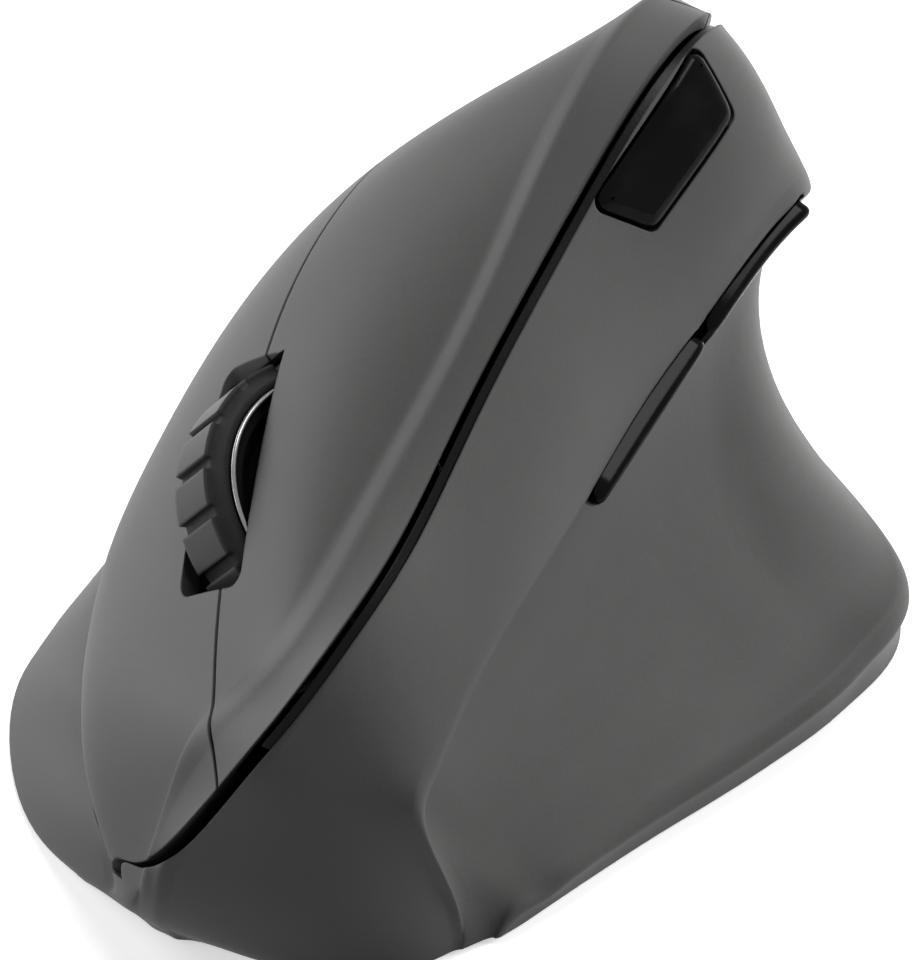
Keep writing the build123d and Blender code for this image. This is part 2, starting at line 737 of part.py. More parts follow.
def make_key(plane, corners, rounding, rise, hollow, stem_place, stem_low):
    """One key: its cap over the shell and the stem that reaches its switch."""
    prism = key_prism(plane, corners, rounding, 0)
    cap = (form(-rise) & prism) - hollow
    cap -= wedge(-GROOVE_HOUSING_SIDE - KEY_GAP, -SEAM_HALF_GAP)
    stem = Pos(0, 0, (stem_low + rise) / 2) * Cylinder(TACT_BUTTON_RADIUS, rise - stem_low)
    stem = on_plane(plane, stem_place, 0, 0, stem) & form(WALL / 2)
    return cap + stem


def board_post(plane, place, board_top, inner_form):
    """Post from the inside of the shell to a small board."""
    length = board_top + BOARD_POST_REACH
    post = Pos(0, 0, BOARD_POST_REACH - length / 2) * Cylinder(POST_RADIUS, length)
    return on_plane(plane, place[0], place[1], 0, post) & inner_form


def make_housing(shell):
    """Thumb side, nose and finger ledge with the openings for the keys."""
    housing = shell - wedge(-GROOVE_HOUSING_SIDE, -SEAM_HALF_GAP)
    housing -= key_prism(DPI_PLANE, DPI_CORNERS, DPI_ROUNDING, KEY_GAP)
    housing -= key_prism(THUMB_PLANE, FORWARD_CORNERS, THUMB_ROUNDING, KEY_GAP)
    housing -= key_prism(THUMB_PLANE, BACK_CORNERS, THUMB_ROUNDING, KEY_GAP)
    return housing


def add_housing_details(housing, inner_form):
    """Screw bosses, board posts and the recesses for the glide feet."""
    height = BOSS_TOP - COVER_TOP - PART_GAP
    for across, forward, turn in SCREW_PLACES:
        boss = Cylinder(BOSS_RADIUS, height)
        boss += Rot(0, 0, turn) * Pos(BOSS_WEB / 2, 0, 0) * Box(BOSS_WEB, BOSS_WEB_WIDTH, height)
        housing += (Pos(across, forward, BOSS_TOP - height / 2) * boss) & inner_form
    for place in THUMB_POST_PLACES:
        housing += board_post(THUMB_PLANE, place, THUMB_BOARD_DEPTH - PART_GAP, inner_form)
    for place in DPI_POST_PLACES:
        housing += board_post(DPI_PLANE, place, DPI_BOARD_DEPTH - PART_GAP, inner_form)
    for across, forward, _ in SCREW_PLACES:
        bore = Cylinder(SCREW_RADIUS + SCREW_FIT, SCREW_LENGTH)
        housing -= Pos(across, forward, SCREW_HEAD_TOP + SCREW_LENGTH / 2 + PART_GAP) * bore
    for foot in glide_pads(FOOT_THICKNESS + COVER_FIT / 2, COVER_FIT / 2):
        housing -= foot
    return housing


def make_groove_trim():
    """Black strip that fills the groove from inside."""
    sections = []
    for angle in CUT_ANGLES:
        groove = line_at(GROOVE_SHARES, angle)
        seam = line_at(SEAM_SHARES, angle)
        chord = groove - seam
        inside = Vector(-chord.Y, chord.X).normalized()
        apex_depth = APEX_DEPTH + chord.length * APEX_SHARE / WHOLE_SHARE
        apex = (groove + seam) * 0.5 + inside * apex_depth
        along, beside = across_ray(apex, groove, seam)
        housing_side = -GROOVE_HOUSING_SIDE - TRIM_OVERHANG
        outline = [
            (TRIM_TOP, housing_side),
            (TRIM_TOP, TRIM_PLATE_SIDE),
            (TRIM_BOTTOM, TRIM_PLATE_SIDE),
            (TRIM_BOTTOM, housing_side),
        ]
        corners = [groove - along * depth + beside * side for depth, side in outline]
        points = [out_of_plane(corner, angle) for corner in corners]
        sections.append(Wire(Polyline(*points, close=True).edges()))
    strip = Solid.make_loft(sections) & wedge(TRIM_FIT - GROOVE_HOUSING_SIDE, -SEAM_HALF_GAP)
    return (strip & fan_side(TRIM_FIRST_ANGLE)) - fan_side(TRIM_LAST_ANGLE)


# Wheel

def make_tyre():
    """Rubber tyre with raised pads around the tread."""
    half = WHEEL_WIDTH / 2
    base_radius = WHEEL_RADIUS - PAD_HEIGHT
    blank = across_cylinder(base_radius, -half, half)
    blank = chamfer(blank.edges().filter_by(GeomType.CIRCLE), TYRE_CHAMFER)
    pads = across_cylinder(WHEEL_RADIUS, -PAD_WIDTH / 2, PAD_WIDTH / 2)
    pads -= across_cylinder(base_radius - PAD_HEIGHT, -half, half)
    bars = [
        Rot(0, step * 360 / PAD_COUNT, 0) * Pos(WHEEL_RADIUS, 0, 0)
        * Box(WHEEL_RADIUS / 2, WHEEL_WIDTH, PAD_LENGTH)
        for step in range(PAD_COUNT)
    ]
    tyre = blank + (pads & Compound(bars))
    tyre -= across_cylinder(WHEEL_RADIUS - TYRE_DEPTH + HUB_FIT, -half, half)
    return at_wheel(Pos(0, WHEEL_ACROSS, 0) * tyre)


def make_hub():
    """Hub with a dished disc on each side and a boss around the axle."""
    half = HUB_WIDTH / 2
    hub = across_cylinder(WHEEL_RADIUS - TYRE_DEPTH, -half, half)
    dish = Pos(0, 0, half - HUB_DISH / 2) * Cone(HUB_DISH_RADIUS - HUB_DISH, HUB_DISH_RADIUS, HUB_DISH)
    dish -= Pos(0, 0, half - HUB_DISH / 2) * Cylinder(HUB_BOSS_RADIUS, HUB_DISH)
    hub -= Rot(90, 0, 0) * dish
    hub -= Rot(-90, 0, 0) * dish
    hub -= across_cylinder(AXLE_RADIUS + AXLE_FIT, -half, half)
    return at_wheel(Pos(0, WHEEL_ACROSS, 0) * hub)


def make_rings():
    """Bright ring on each side of the hub."""
    half = HUB_WIDTH / 2 + HUB_FIT / 2
    rings = []
    for low in (half, -half - RING_HEIGHT):
        ring = across_cylinder(WHEEL_RADIUS - TYRE_DEPTH - HUB_FIT, low, low + RING_HEIGHT)
        ring -= across_cylinder(RING_RADIUS - 2 * RING_WIDTH, low, low + RING_HEIGHT)
        rings.append(at_wheel(Pos(0, WHEEL_ACROSS, 0) * ring))
    return rings


def make_axle():
    """Steel pin through the hub, the carrier and the encoder."""
    return at_wheel(across_cylinder(AXLE_RADIUS, AXLE_LOW_END, AXLE_HIGH_END))


def make_carrier():
    """Rocking frame that holds the wheel and presses the middle switch."""
    inner = WHEEL_WIDTH / 2 + CARRIER_ARM_GAP
    high = CARRIER_LOW + CARRIER_BAR_HEIGHT
    rear = WHEEL_FORWARD - CARRIER_BAR_PLACE
    front = WHEEL_FORWARD + CARRIER_BAR_PLACE
    frame = face_block(
        (rear - CARRIER_BAR / 2, front + CARRIER_BAR / 2),
        (WHEEL_ACROSS - inner - CARRIER_ARM, WHEEL_ACROSS + inner + CARRIER_ARM),
        (CARRIER_LOW, high),
    )
    frame -= face_block(
        (rear + CARRIER_BAR / 2, front - CARRIER_BAR / 2),
        (WHEEL_ACROSS - inner, WHEEL_ACROSS + inner),
        (CARRIER_LOW, high),
    )
    for low in (WHEEL_ACROSS - inner - CARRIER_ARM, WHEEL_ACROSS + inner):
        eye = at_wheel(across_cylinder(CARRIER_EYE_RADIUS, low, low + CARRIER_ARM))
        arm = face_block(
            (WHEEL_FORWARD - CARRIER_ARM_LENGTH / 2, WHEEL_FORWARD + CARRIER_ARM_LENGTH / 2),
            (low, low + CARRIER_ARM),
            (CARRIER_LOW, WHEEL_OUT),
        )
        frame += eye + arm
    tab_low = BUTTON_BOARD_OUT + BOARD_THICKNESS + TACT_HEIGHT + TACT_BUTTON_HEIGHT + CLICK_GAP
    frame += face_block(
        (MIDDLE_SWITCH_FORWARD - TAB_LENGTH / 2, MIDDLE_SWITCH_FORWARD + TAB_LENGTH / 2),
        (WHEEL_ACROSS + inner, MIDDLE_SWITCH_ACROSS + TAB_LENGTH / 2),
        (tab_low, tab_low + TAB_THICKNESS),
    )
    frame += face_block(
        (MIDDLE_SWITCH_FORWARD - TAB_LENGTH / 2, MIDDLE_SWITCH_FORWARD + TAB_LENGTH / 2),
        (WHEEL_ACROSS + inner, WHEEL_ACROSS + inner + CARRIER_ARM),
        (CARRIER_LOW, tab_low + TAB_THICKNESS),
    )
    frame -= at_wheel(across_cylinder(AXLE_RADIUS + AXLE_FIT, AXLE_LOW_END, AXLE_HIGH_END))
    return frame


def make_encoder():
    """Encoder beside the carrier, turned by the axle."""
    high = WHEEL_ACROSS - WHEEL_WIDTH / 2 - CARRIER_ARM_GAP - CARRIER_ARM - PART_GAP
    half = ENCODER_SIZE / 2
    body = face_block(
        (WHEEL_FORWARD - half, WHEEL_FORWARD + half),
        (high - ENCODER_WIDTH, high),
        (WHEEL_OUT - half, WHEEL_OUT + half),
    )
    body = chamfer(body.edges(), PART_GAP)
    body -= at_wheel(across_cylinder(AXLE_RADIUS + AXLE_FIT, AXLE_LOW_END - AXLE_FIT, high))
    return body


# Switches and boards

def main_switch(across):
    """Micro switch on the button board with its plunger."""
    low = BUTTON_BOARD_OUT + BOARD_THICKNESS
    half_length = MAIN_SWITCH_LENGTH / 2
    half_width = MAIN_SWITCH_WIDTH / 2
    body = face_block(
        (MAIN_SWITCH_FORWARD - half_length, MAIN_SWITCH_FORWARD + half_length),
        (across - half_width, across + half_width),
        (low, low + MAIN_SWITCH_HEIGHT),
    )
    body = chamfer(body.edges(), PART_GAP)
    plunger = face_block(
        (
            MAIN_SWITCH_FORWARD + PLUNGER_FORWARD - PLUNGER_LENGTH / 2,
            MAIN_SWITCH_FORWARD + PLUNGER_FORWARD + PLUNGER_LENGTH / 2,
        ),
        (across - PLUNGER_WIDTH / 2, across + PLUNGER_WIDTH / 2),
        (low + MAIN_SWITCH_HEIGHT / 2, low + MAIN_SWITCH_HEIGHT + PLUNGER_HEIGHT),
    )
    return body + plunger


def tact_switch():
    """Small square switch that stands on its board at the origin."""
    body = Pos(0, 0, TACT_HEIGHT / 2) * Box(TACT_SIZE, TACT_SIZE, TACT_HEIGHT)
    body = chamfer(body.edges().group_by(Axis.Z)[-1], PART_GAP)
    button = Cylinder(TACT_BUTTON_RADIUS, TACT_BUTTON_HEIGHT)
    return body + Pos(0, 0, TACT_HEIGHT + TACT_BUTTON_HEIGHT / 2) * button


def make_button_board():
    """Circuit board under the finger plates with the opening for the wheel."""
    board = face_block(
        (BOARD_REAR, BOARD_FRONT),
        (BOARD_LOW, BOARD_HIGH),
        (BUTTON_BOARD_OUT, BUTTON_BOARD_OUT + BOARD_THICKNESS),
    )
    return board - wheel_room(BUTTON_BOARD_OUT, BOARD_THICKNESS)


def wheel_room(low, thickness):
    """Opening for the wheel in a plate that starts at one height."""
    half_length = BOARD_CUT_LENGTH / 2
    half_width = BOARD_CUT_WIDTH / 2
    return face_block(
        (WHEEL_FORWARD - half_length, WHEEL_FORWARD + half_length),
        (WHEEL_ACROSS - half_width, WHEEL_ACROSS + half_width),
        (low, low + thickness),
    )


def make_inner_frame():
    """Frame that carries the button board, with two legs and two wall posts."""
    high = BUTTON_BOARD_OUT - PART_GAP
    low = high - FRAME_THICKNESS
    frame = face_block(
        (BOARD_REAR + FRAME_INSET, BOARD_FRONT - FRAME_INSET),
        (BOARD_LOW + FRAME_INSET, BOARD_HIGH - FRAME_INSET),
        (low, high),
    )
    frame -= wheel_room(low, FRAME_THICKNESS)
    below = face_block((-ROOM, ROOM), (-ROOM, ROOM), (-ROOM, (low + high) / 2))
    for forward in LEG_FORWARDS:
        leg = block(
            (LEG_ACROSS - LEG_SIZE / 2, LEG_ACROSS + LEG_SIZE / 2),
            (forward - LEG_SIZE / 2, forward + LEG_SIZE / 2),
            (COVER_TOP + PART_GAP, LEG_TOP),
        )
        frame += leg & below
    seat = cavity(WALL + PART_GAP)
    frame &= seat
    for forward in WALL_POST_FORWARDS:
        post = Pos(0, 0, -WALL_POST_LENGTH / 2) * Cylinder(POST_RADIUS, WALL_POST_LENGTH)
        frame += on_face(forward, WALL_POST_ACROSS, low + FRAME_THICKNESS / 2, post) & seat
    return frame


def small_board(plane, forward, down, depth, length, height):
    """Small circuit board under one group of keys."""
    board = Pos(0, 0, -BOARD_THICKNESS / 2) * Box(length, height, BOARD_THICKNESS)
    return on_plane(plane, forward, down, -depth, board)


def make_main_board():
    """Main circuit board over the bottom cover."""
    board = block(
        (MAIN_BOARD_LEFT, MAIN_BOARD_RIGHT),
        (MAIN_BOARD_REAR, MAIN_BOARD_FRONT),
        (MAIN_BOARD_UP, MAIN_BOARD_UP + BOARD_THICKNESS),
    )
    eye = Cylinder(LENS_RADIUS, BOARD_THICKNESS)
    height = MAIN_BOARD_UP + BOARD_THICKNESS / 2
    return board - Pos(SENSOR_ACROSS, SENSOR_FORWARD, height) * eye


def make_sensor():
    """Optical sensor on top of the main board."""
    low = MAIN_BOARD_UP + BOARD_THICKNESS
    body = Box(SENSOR_BODY_WIDTH, SENSOR_BODY_LENGTH, SENSOR_BODY_HEIGHT)
    body = chamfer(body.edges().group_by(Axis.Z)[-1], PART_GAP)
    return Pos(SENSOR_ACROSS, SENSOR_FORWARD, low + SENSOR_BODY_HEIGHT / 2) * body


def make_lens():
    """Clear lens between the window and the main board."""
    low = COVER_TOP + PART_GAP
    plate = Pos(0, 0, low + LENS_PLATE / 2) * Box(LENS_WIDTH, LENS_LENGTH, LENS_PLATE)
    top = MAIN_BOARD_UP - PART_GAP
    barrel = Pos(0, 0, (low + top) / 2) * Cylinder(LENS_RADIUS, top - low)
    return Pos(SENSOR_ACROSS, SENSOR_FORWARD, 0) * (plate + barrel)


# Bottom

def bay_range():
    """Inner side limits of the battery bay across the mouse."""
    half = BATTERY_RADIUS + BAY_SIDE_GAP
    return BATTERY_ACROSS - half, BATTERY_ACROSS + half


def dock_ranges():
    """Inner limits of the receiver dock on each axis."""
    half = CAP_WIDTH / 2 + DOCK_GAP
    half_length = (PLUG_LENGTH + CAP_LENGTH) / 2 + DOCK_GAP
    top = RECEIVER_UP + CAP_HEIGHT / 2 + DOCK_GAP
    return (
        (RECEIVER_ACROSS - half, RECEIVER_ACROSS + half),
        (RECEIVER_FORWARD - half_length, RECEIVER_FORWARD + half_length),
        (COVER_UNDERSIDE, top),
    )


def grown(limits, amount):
    """Limits widened by one amount on both sides."""
    return limits[0] - amount, limits[1] + amount


def make_bottom_cover():
    """Bottom cover with the battery bay, the receiver dock and the board posts."""
    slab = block((-ROOM, ROOM), (-ROOM, ROOM), (COVER_UNDERSIDE, COVER_TOP))
    cover = slab & cavity(WALL + COVER_FIT)
    bay_across = bay_range()
    bay_top = BATTERY_UP + BATTERY_RADIUS + BAY_SIDE_GAP
    bay_forward = (BAY_REAR, BAY_FRONT)
    cover += block(
        grown(bay_across, BAY_WALL), grown(bay_forward, BAY_WALL), (COVER_UNDERSIDE, bay_top + BAY_WALL)
    )
    cover -= block(bay_across, bay_forward, (COVER_UNDERSIDE, bay_top))
    cover -= block(
        grown(bay_across, DOOR_LIP), grown(bay_forward, DOOR_LIP),
        (COVER_UNDERSIDE, COVER_UNDERSIDE + DOOR_RECESS),
    )
    dock_across, dock_forward, dock_up = dock_ranges()
    cover += block(
        grown(dock_across, DOCK_WALL), grown(dock_forward, DOCK_WALL), (COVER_UNDERSIDE, dock_up[1] + DOCK_WALL)
    )
    cover -= block(dock_across, dock_forward, dock_up)
    window = Box(SENSOR_WINDOW_WIDTH, SENSOR_WINDOW_LENGTH, COVER_THICKNESS)
    middle = COVER_UNDERSIDE + COVER_THICKNESS / 2
    cover -= Pos(SENSOR_ACROSS, SENSOR_FORWARD, middle) * window
    slot_length = POWER_KNOB_LENGTH + POWER_TRAVEL + 2 * POWER_SLOT_GAP
    slot = Box(POWER_KNOB_WIDTH + 2 * POWER_SLOT_GAP, slot_length, COVER_THICKNESS)
    cover -= Pos(POWER_ACROSS, POWER_FORWARD + POWER_TRAVEL / 2, middle) * slot
    for across, forward, _ in SCREW_PLACES:
        head = Cylinder(SCREW_HEAD_RADIUS + PART_GAP, SCREW_HEAD_TOP - COVER_UNDERSIDE)
        cover -= Pos(across, forward, (SCREW_HEAD_TOP + COVER_UNDERSIDE) / 2) * head
        cover -= Pos(across, forward, middle) * Cylinder(SCREW_RADIUS + SCREW_FIT, COVER_THICKNESS)
    for across in (MAIN_BOARD_LEFT + POST_RADIUS, MAIN_BOARD_RIGHT - POST_RADIUS):
        for forward in (MAIN_BOARD_REAR + POST_RADIUS, MAIN_BOARD_FRONT - POST_RADIUS):
            height = MAIN_BOARD_UP - PART_GAP - COVER_UNDERSIDE
            post = Cylinder(POST_RADIUS, height)
            cover += Pos(across, forward, COVER_UNDERSIDE + height / 2) * post
    return cover


def make_battery():
    """One cell with its raised tip at the front."""
    cell = Pos(0, BATTERY_REAR + BATTERY_LENGTH / 2, 0) * Rot(90, 0, 0)
    cell = cell * Cylinder(BATTERY_RADIUS, BATTERY_LENGTH)
    cell = chamfer(cell.edges().filter_by(GeomType.CIRCLE), PART_GAP)
    tip = Pos(0, BATTERY_REAR + BATTERY_LENGTH + BATTERY_TIP_LENGTH / 2, 0) * Rot(90, 0, 0)
    cell += tip * Cylinder(BATTERY_TIP_RADIUS, BATTERY_TIP_LENGTH)
    return Pos(BATTERY_ACROSS, 0, BATTERY_UP) * cell


def make_contact():
    """Contact plate in front of the tip of the battery."""
    half = CONTACT_SIZE / 2
    return block(
        (BATTERY_ACROSS - half, BATTERY_ACROSS + half),
        (BAY_FRONT - CONTACT_THICKNESS, BAY_FRONT),
        (BATTERY_UP - half, BATTERY_UP + half),
    )


def make_spring():
    """Coil spring behind the battery."""
    length = BATTERY_REAR - BAY_REAR - PART_GAP - 2 * SPRING_WIRE
    path = Helix(pitch=length / SPRING_TURNS, height=length, radius=SPRING_RADIUS)
    profile = Plane(path @ 0, z_dir=path % 0) * Circle(SPRING_WIRE)
    coil = sweep(profile, path=path)
    front = BATTERY_REAR - PART_GAP - SPRING_WIRE
    return Pos(BATTERY_ACROSS, front, BATTERY_UP) * Rot(90, 0, 0) * coil


def make_door():
    """Door that closes the battery bay from below."""
    across = grown(bay_range(), DOOR_LIP - PART_GAP)
    forward = grown((BAY_REAR, BAY_FRONT), DOOR_LIP - PART_GAP)
    door = block(across, forward, (COVER_UNDERSIDE, COVER_UNDERSIDE + DOOR_THICKNESS))
    return fillet(door.edges().filter_by(Axis.Z), DOOR_LIP)


def make_receiver():
    """Metal plug and plastic cap of the radio receiver in its dock."""
    rear = RECEIVER_FORWARD - (PLUG_LENGTH + CAP_LENGTH) / 2
    plug = block(
        (RECEIVER_ACROSS - PLUG_WIDTH / 2, RECEIVER_ACROSS + PLUG_WIDTH / 2),
        (rear, rear + PLUG_LENGTH),
        (RECEIVER_UP - PLUG_HEIGHT / 2, RECEIVER_UP + PLUG_HEIGHT / 2),
    )
    plug -= block(
        (
            RECEIVER_ACROSS - PLUG_WIDTH / 2 + PLUG_WALL,
            RECEIVER_ACROSS + PLUG_WIDTH / 2 - PLUG_WALL,
        ),
        (rear, rear + PLUG_LENGTH - CAP_LENGTH),
        (RECEIVER_UP, RECEIVER_UP + PLUG_HEIGHT / 2 - PLUG_WALL),
    )
    cap = block(
        (RECEIVER_ACROSS - CAP_WIDTH / 2, RECEIVER_ACROSS + CAP_WIDTH / 2),
        (rear + PLUG_LENGTH + HUB_FIT, rear + PLUG_LENGTH + CAP_LENGTH),
        (RECEIVER_UP - CAP_HEIGHT / 2, RECEIVER_UP + CAP_HEIGHT / 2),
    )
    cap = fillet(cap.edges().filter_by(Axis.Y), CAP_HEIGHT / 4)
    return plug, cap


def make_power_switch():
    """Slide switch under the main board."""
    high = MAIN_BOARD_UP - HUB_FIT
    low = high - POWER_BODY_HEIGHT
    body = block(
        (POWER_ACROSS - POWER_BODY_WIDTH / 2, POWER_ACROSS + POWER_BODY_WIDTH / 2),
        (
            POWER_FORWARD + POWER_TRAVEL / 2 - POWER_BODY_LENGTH / 2,
            POWER_FORWARD + POWER_TRAVEL / 2 + POWER_BODY_LENGTH / 2,
        ),
        (low, high),
    )
    return chamfer(body.edges().group_by(Axis.Z)[0], PART_GAP)


def make_power_slider():
    """Sliding knob in the bottom cover."""
    knob = block(
        (POWER_ACROSS - POWER_KNOB_WIDTH / 2, POWER_ACROSS + POWER_KNOB_WIDTH / 2),
        (POWER_FORWARD - POWER_KNOB_LENGTH / 2, POWER_FORWARD + POWER_KNOB_LENGTH / 2),
        (COVER_UNDERSIDE, COVER_TOP + PART_GAP),
    )
    knob = chamfer(knob.edges().group_by(Axis.Z)[0], PART_GAP)
    flange_low = COVER_TOP + PART_GAP
    flange_high = MAIN_BOARD_UP - HUB_FIT - POWER_BODY_HEIGHT - PART_GAP
    knob += block(
        grown((POWER_ACROSS, POWER_ACROSS), POWER_KNOB_WIDTH / 2 + 2 * POWER_SLOT_GAP),
        grown((POWER_FORWARD, POWER_FORWARD), POWER_KNOB_LENGTH / 2 + POWER_SLOT_GAP),
        (flange_low, flange_high),
    )
    return knob


def glide_pads(top, growth):
    """The low-friction feet, or the room for them."""
    feet = (
        (FRONT_FOOT_PLACE, FRONT_FOOT_SIZE),
        (REAR_FOOT_PLACE, REAR_FOOT_SIZE),
        (THUMB_FOOT_PLACE, THUMB_FOOT_SIZE),
    )
    pads = []
    for place, size in feet:
        rounding = min(size) / 2 - PART_GAP
        outline = RectangleRounded(
            size[0] + 2 * growth, size[1] + 2 * growth, rounding + growth
        )
        pads.append(Pos(place[0], place[1], 0) * extrude(outline, amount=top))
    return pads


def make_screws():
    """Screws that hold the bottom cover."""
    screws = []
    for across, forward, _ in SCREW_PLACES:
        head = Cylinder(SCREW_HEAD_RADIUS, SCREW_HEAD_HEIGHT)
        head = chamfer(head.edges().group_by(Axis.Z)[0], PART_GAP)
        head = Pos(0, 0, SCREW_HEAD_TOP - SCREW_HEAD_HEIGHT / 2) * head
        shank = Pos(0, 0, SCREW_HEAD_TOP + SCREW_LENGTH / 2) * Cylinder(SCREW_RADIUS, SCREW_LENGTH)
        cross = Box(SCREW_HEAD_RADIUS, SCREW_CROSS, SCREW_HEAD_HEIGHT)
        cross += Rot(0, 0, 90) * cross
        head -= Pos(0, 0, SCREW_HEAD_TOP - SCREW_HEAD_HEIGHT) * cross
        screws.append(Pos(across, forward, 0) * (head + shank))
    return screws


def save(name, *solids):
    """Write one named piece to its own file."""
    bodies = [solid for part in solids for solid in part.solids()]
    piece = bodies[0] if len(bodies) == 1 else Compound(bodies)
    export_step(Pos(-MIDDLE_ACROSS, -MIDDLE_FORWARD, 0) * piece, f"parts/{name}.step")


def main():
    """Build all pieces and write them."""
    os.makedirs("parts", exist_ok=True)
    hollow = cavity(WALL)
    shell = above_desk(form(0)) - hollow
    inner_form = form(WALL / 2)

    left, right, palm = make_plates(shell, inner_form)
    save("left_button", left)
    save("right_button", right)
    save("palm_cover", palm)
    save("side_housing", add_housing_details(make_housing(shell), inner_form))
    save("groove_trim", make_groove_trim())

    tact_top = TACT_HEIGHT + TACT_BUTTON_HEIGHT + CLICK_GAP
    dpi_low = tact_top - DPI_BOARD_DEPTH
    thumb_low = tact_top - THUMB_BOARD_DEPTH
    save("dpi_button", make_key(
        DPI_PLANE, DPI_CORNERS, DPI_ROUNDING, DPI_RISE, hollow, 0, dpi_low
    ))
    save("forward_button", make_key(
        THUMB_PLANE, FORWARD_CORNERS, THUMB_ROUNDING, THUMB_RISE, hollow,
        FORWARD_SWITCH_PLACE, thumb_low,
    ))
    save("back_button", make_key(
        THUMB_PLANE, BACK_CORNERS, THUMB_ROUNDING, THUMB_RISE, hollow,
        BACK_SWITCH_PLACE, thumb_low,
    ))

    save("wheel_tyre", make_tyre())
    save("wheel_hub", make_hub())
    save("wheel_rings", *make_rings())
    save("wheel_axle", make_axle())
    save("wheel_carrier", make_carrier())
    save("wheel_encoder", make_encoder())

    board_top = BUTTON_BOARD_OUT + BOARD_THICKNESS
    save("left_switch", main_switch(LEFT_SWITCH_ACROSS))
    save("right_switch", main_switch(RIGHT_SWITCH_ACROSS))
    save("middle_switch", on_face(
        MIDDLE_SWITCH_FORWARD, MIDDLE_SWITCH_ACROSS, board_top, tact_switch()
    ))
    save("button_board", make_button_board())
    save("inner_frame", make_inner_frame())
    save("thumb_board", small_board(
        THUMB_PLANE, THUMB_BOARD_FORWARD, THUMB_BOARD_DOWN, THUMB_BOARD_DEPTH,
        THUMB_BOARD_LENGTH, THUMB_BOARD_HEIGHT,
    ))
    save("forward_switch", on_plane(
        THUMB_PLANE, FORWARD_SWITCH_PLACE, 0, -THUMB_BOARD_DEPTH, tact_switch()
    ))
    save("back_switch", on_plane(
        THUMB_PLANE, BACK_SWITCH_PLACE, 0, -THUMB_BOARD_DEPTH, tact_switch()
    ))
    save("dpi_board", small_board(
        DPI_PLANE, 0, DPI_BOARD_DOWN, DPI_BOARD_DEPTH, DPI_BOARD_LENGTH, DPI_BOARD_HEIGHT
    ))
    save("dpi_switch", on_plane(DPI_PLANE, 0, 0, -DPI_BOARD_DEPTH, tact_switch()))

    save("bottom_cover", make_bottom_cover())
    save("main_board", make_main_board())
    save("optical_sensor", make_sensor())
    save("sensor_lens", make_lens())
    save("battery", make_battery())
    save("battery_contact", make_contact())
    save("battery_spring", make_spring())
    save("battery_door", make_door())
    plug, cap = make_receiver()
    save("receiver_plug", plug)
    save("receiver_cap", cap)
    save("power_switch", make_power_switch())
    save("power_slider", make_power_slider())
    save("glide_feet", *glide_pads(FOOT_THICKNESS, 0))
    save("cover_screws", *make_screws())


if __name__ == "__main__":
    main()
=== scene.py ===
"""Looks of a right-handed vertical mouse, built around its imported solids.

The frame is in metres, with X to the finger side, Y to the front and Z up.
Each sub-assembly is a class that builds its own small pieces and dresses its nodes.
"""

import json
import logging
import math
from dataclasses import dataclass, field
from enum import Enum
from typing import Sequence, Union

import bmesh
import bpy
from mathutils import Matrix, Vector
from mathutils.bvhtree import BVHTree
from mathutils.geometry import intersect_point_line

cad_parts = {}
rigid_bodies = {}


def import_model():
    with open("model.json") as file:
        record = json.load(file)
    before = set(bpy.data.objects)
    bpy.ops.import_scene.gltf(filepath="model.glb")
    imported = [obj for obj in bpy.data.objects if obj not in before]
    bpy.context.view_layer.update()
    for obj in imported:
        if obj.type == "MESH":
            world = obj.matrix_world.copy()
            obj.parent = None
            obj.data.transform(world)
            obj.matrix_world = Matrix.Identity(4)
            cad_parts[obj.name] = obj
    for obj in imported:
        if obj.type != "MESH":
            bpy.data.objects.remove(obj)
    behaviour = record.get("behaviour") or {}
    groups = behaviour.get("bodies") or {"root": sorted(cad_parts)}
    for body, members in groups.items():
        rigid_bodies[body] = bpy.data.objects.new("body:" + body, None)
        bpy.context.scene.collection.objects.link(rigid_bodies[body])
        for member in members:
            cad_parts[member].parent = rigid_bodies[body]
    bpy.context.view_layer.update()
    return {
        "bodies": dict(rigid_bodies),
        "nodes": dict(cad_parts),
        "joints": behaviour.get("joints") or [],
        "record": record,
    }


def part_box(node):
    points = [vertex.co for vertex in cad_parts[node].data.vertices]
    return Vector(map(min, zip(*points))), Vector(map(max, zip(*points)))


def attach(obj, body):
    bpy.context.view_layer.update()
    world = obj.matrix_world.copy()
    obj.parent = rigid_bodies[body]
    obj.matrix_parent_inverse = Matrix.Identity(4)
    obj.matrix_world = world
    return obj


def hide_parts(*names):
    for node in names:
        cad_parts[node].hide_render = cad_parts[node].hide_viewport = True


LOG = logging.getLogger("vertical_mouse")

# Metres in a millimetre, and the angle past which an edge of a new piece is drawn sharp.
MILLIMETRE = 0.001
SHARP_ANGLE = math.radians(40)

# In metres: how close points and cuts count as one, the least step that a share is taken of,
# and the height above the mouse from which rays look down.
SAME_POINT = 1e-7
SAME_LINE = 1e-6
SHORTEST_STEP = 1e-9
RAY_START = 1.0

# Middle of a pattern that runs from 0 to 1.
MIDDLE = 0.5

# Places of the colour sockets on a Mix node.
MIX_FACTOR, MIX_LOW, MIX_HIGH, MIX_RESULT = 0, 6, 7, 2
BEVEL_SAMPLES = 6

Number = Union[float, "Scalar"]
Colour = tuple[float, float, float]
Stretch = tuple[float, float, float]
Span = tuple[float, float]


class Ray(Enum):
    """Kinds of light path that see the plain background as white."""

    CAMERA = "Is Camera Ray"
    GLOSSY = "Is Glossy Ray"
    TRANSMISSION = "Is Transmission Ray"


class Working(Enum):
    """How a metal was worked, as the stretch of the lines on it."""

    PLATED = (1.0, 1.0, 1.0)
    DRAWN = (1.0, 0.1, 1.0)


class Detail(Enum):
    """How many finer layers a noise has."""

    PLAIN = 1.0
    CLOUDY = 2.0
    BROKEN = 3.0
    CRUMBLED = 4.0


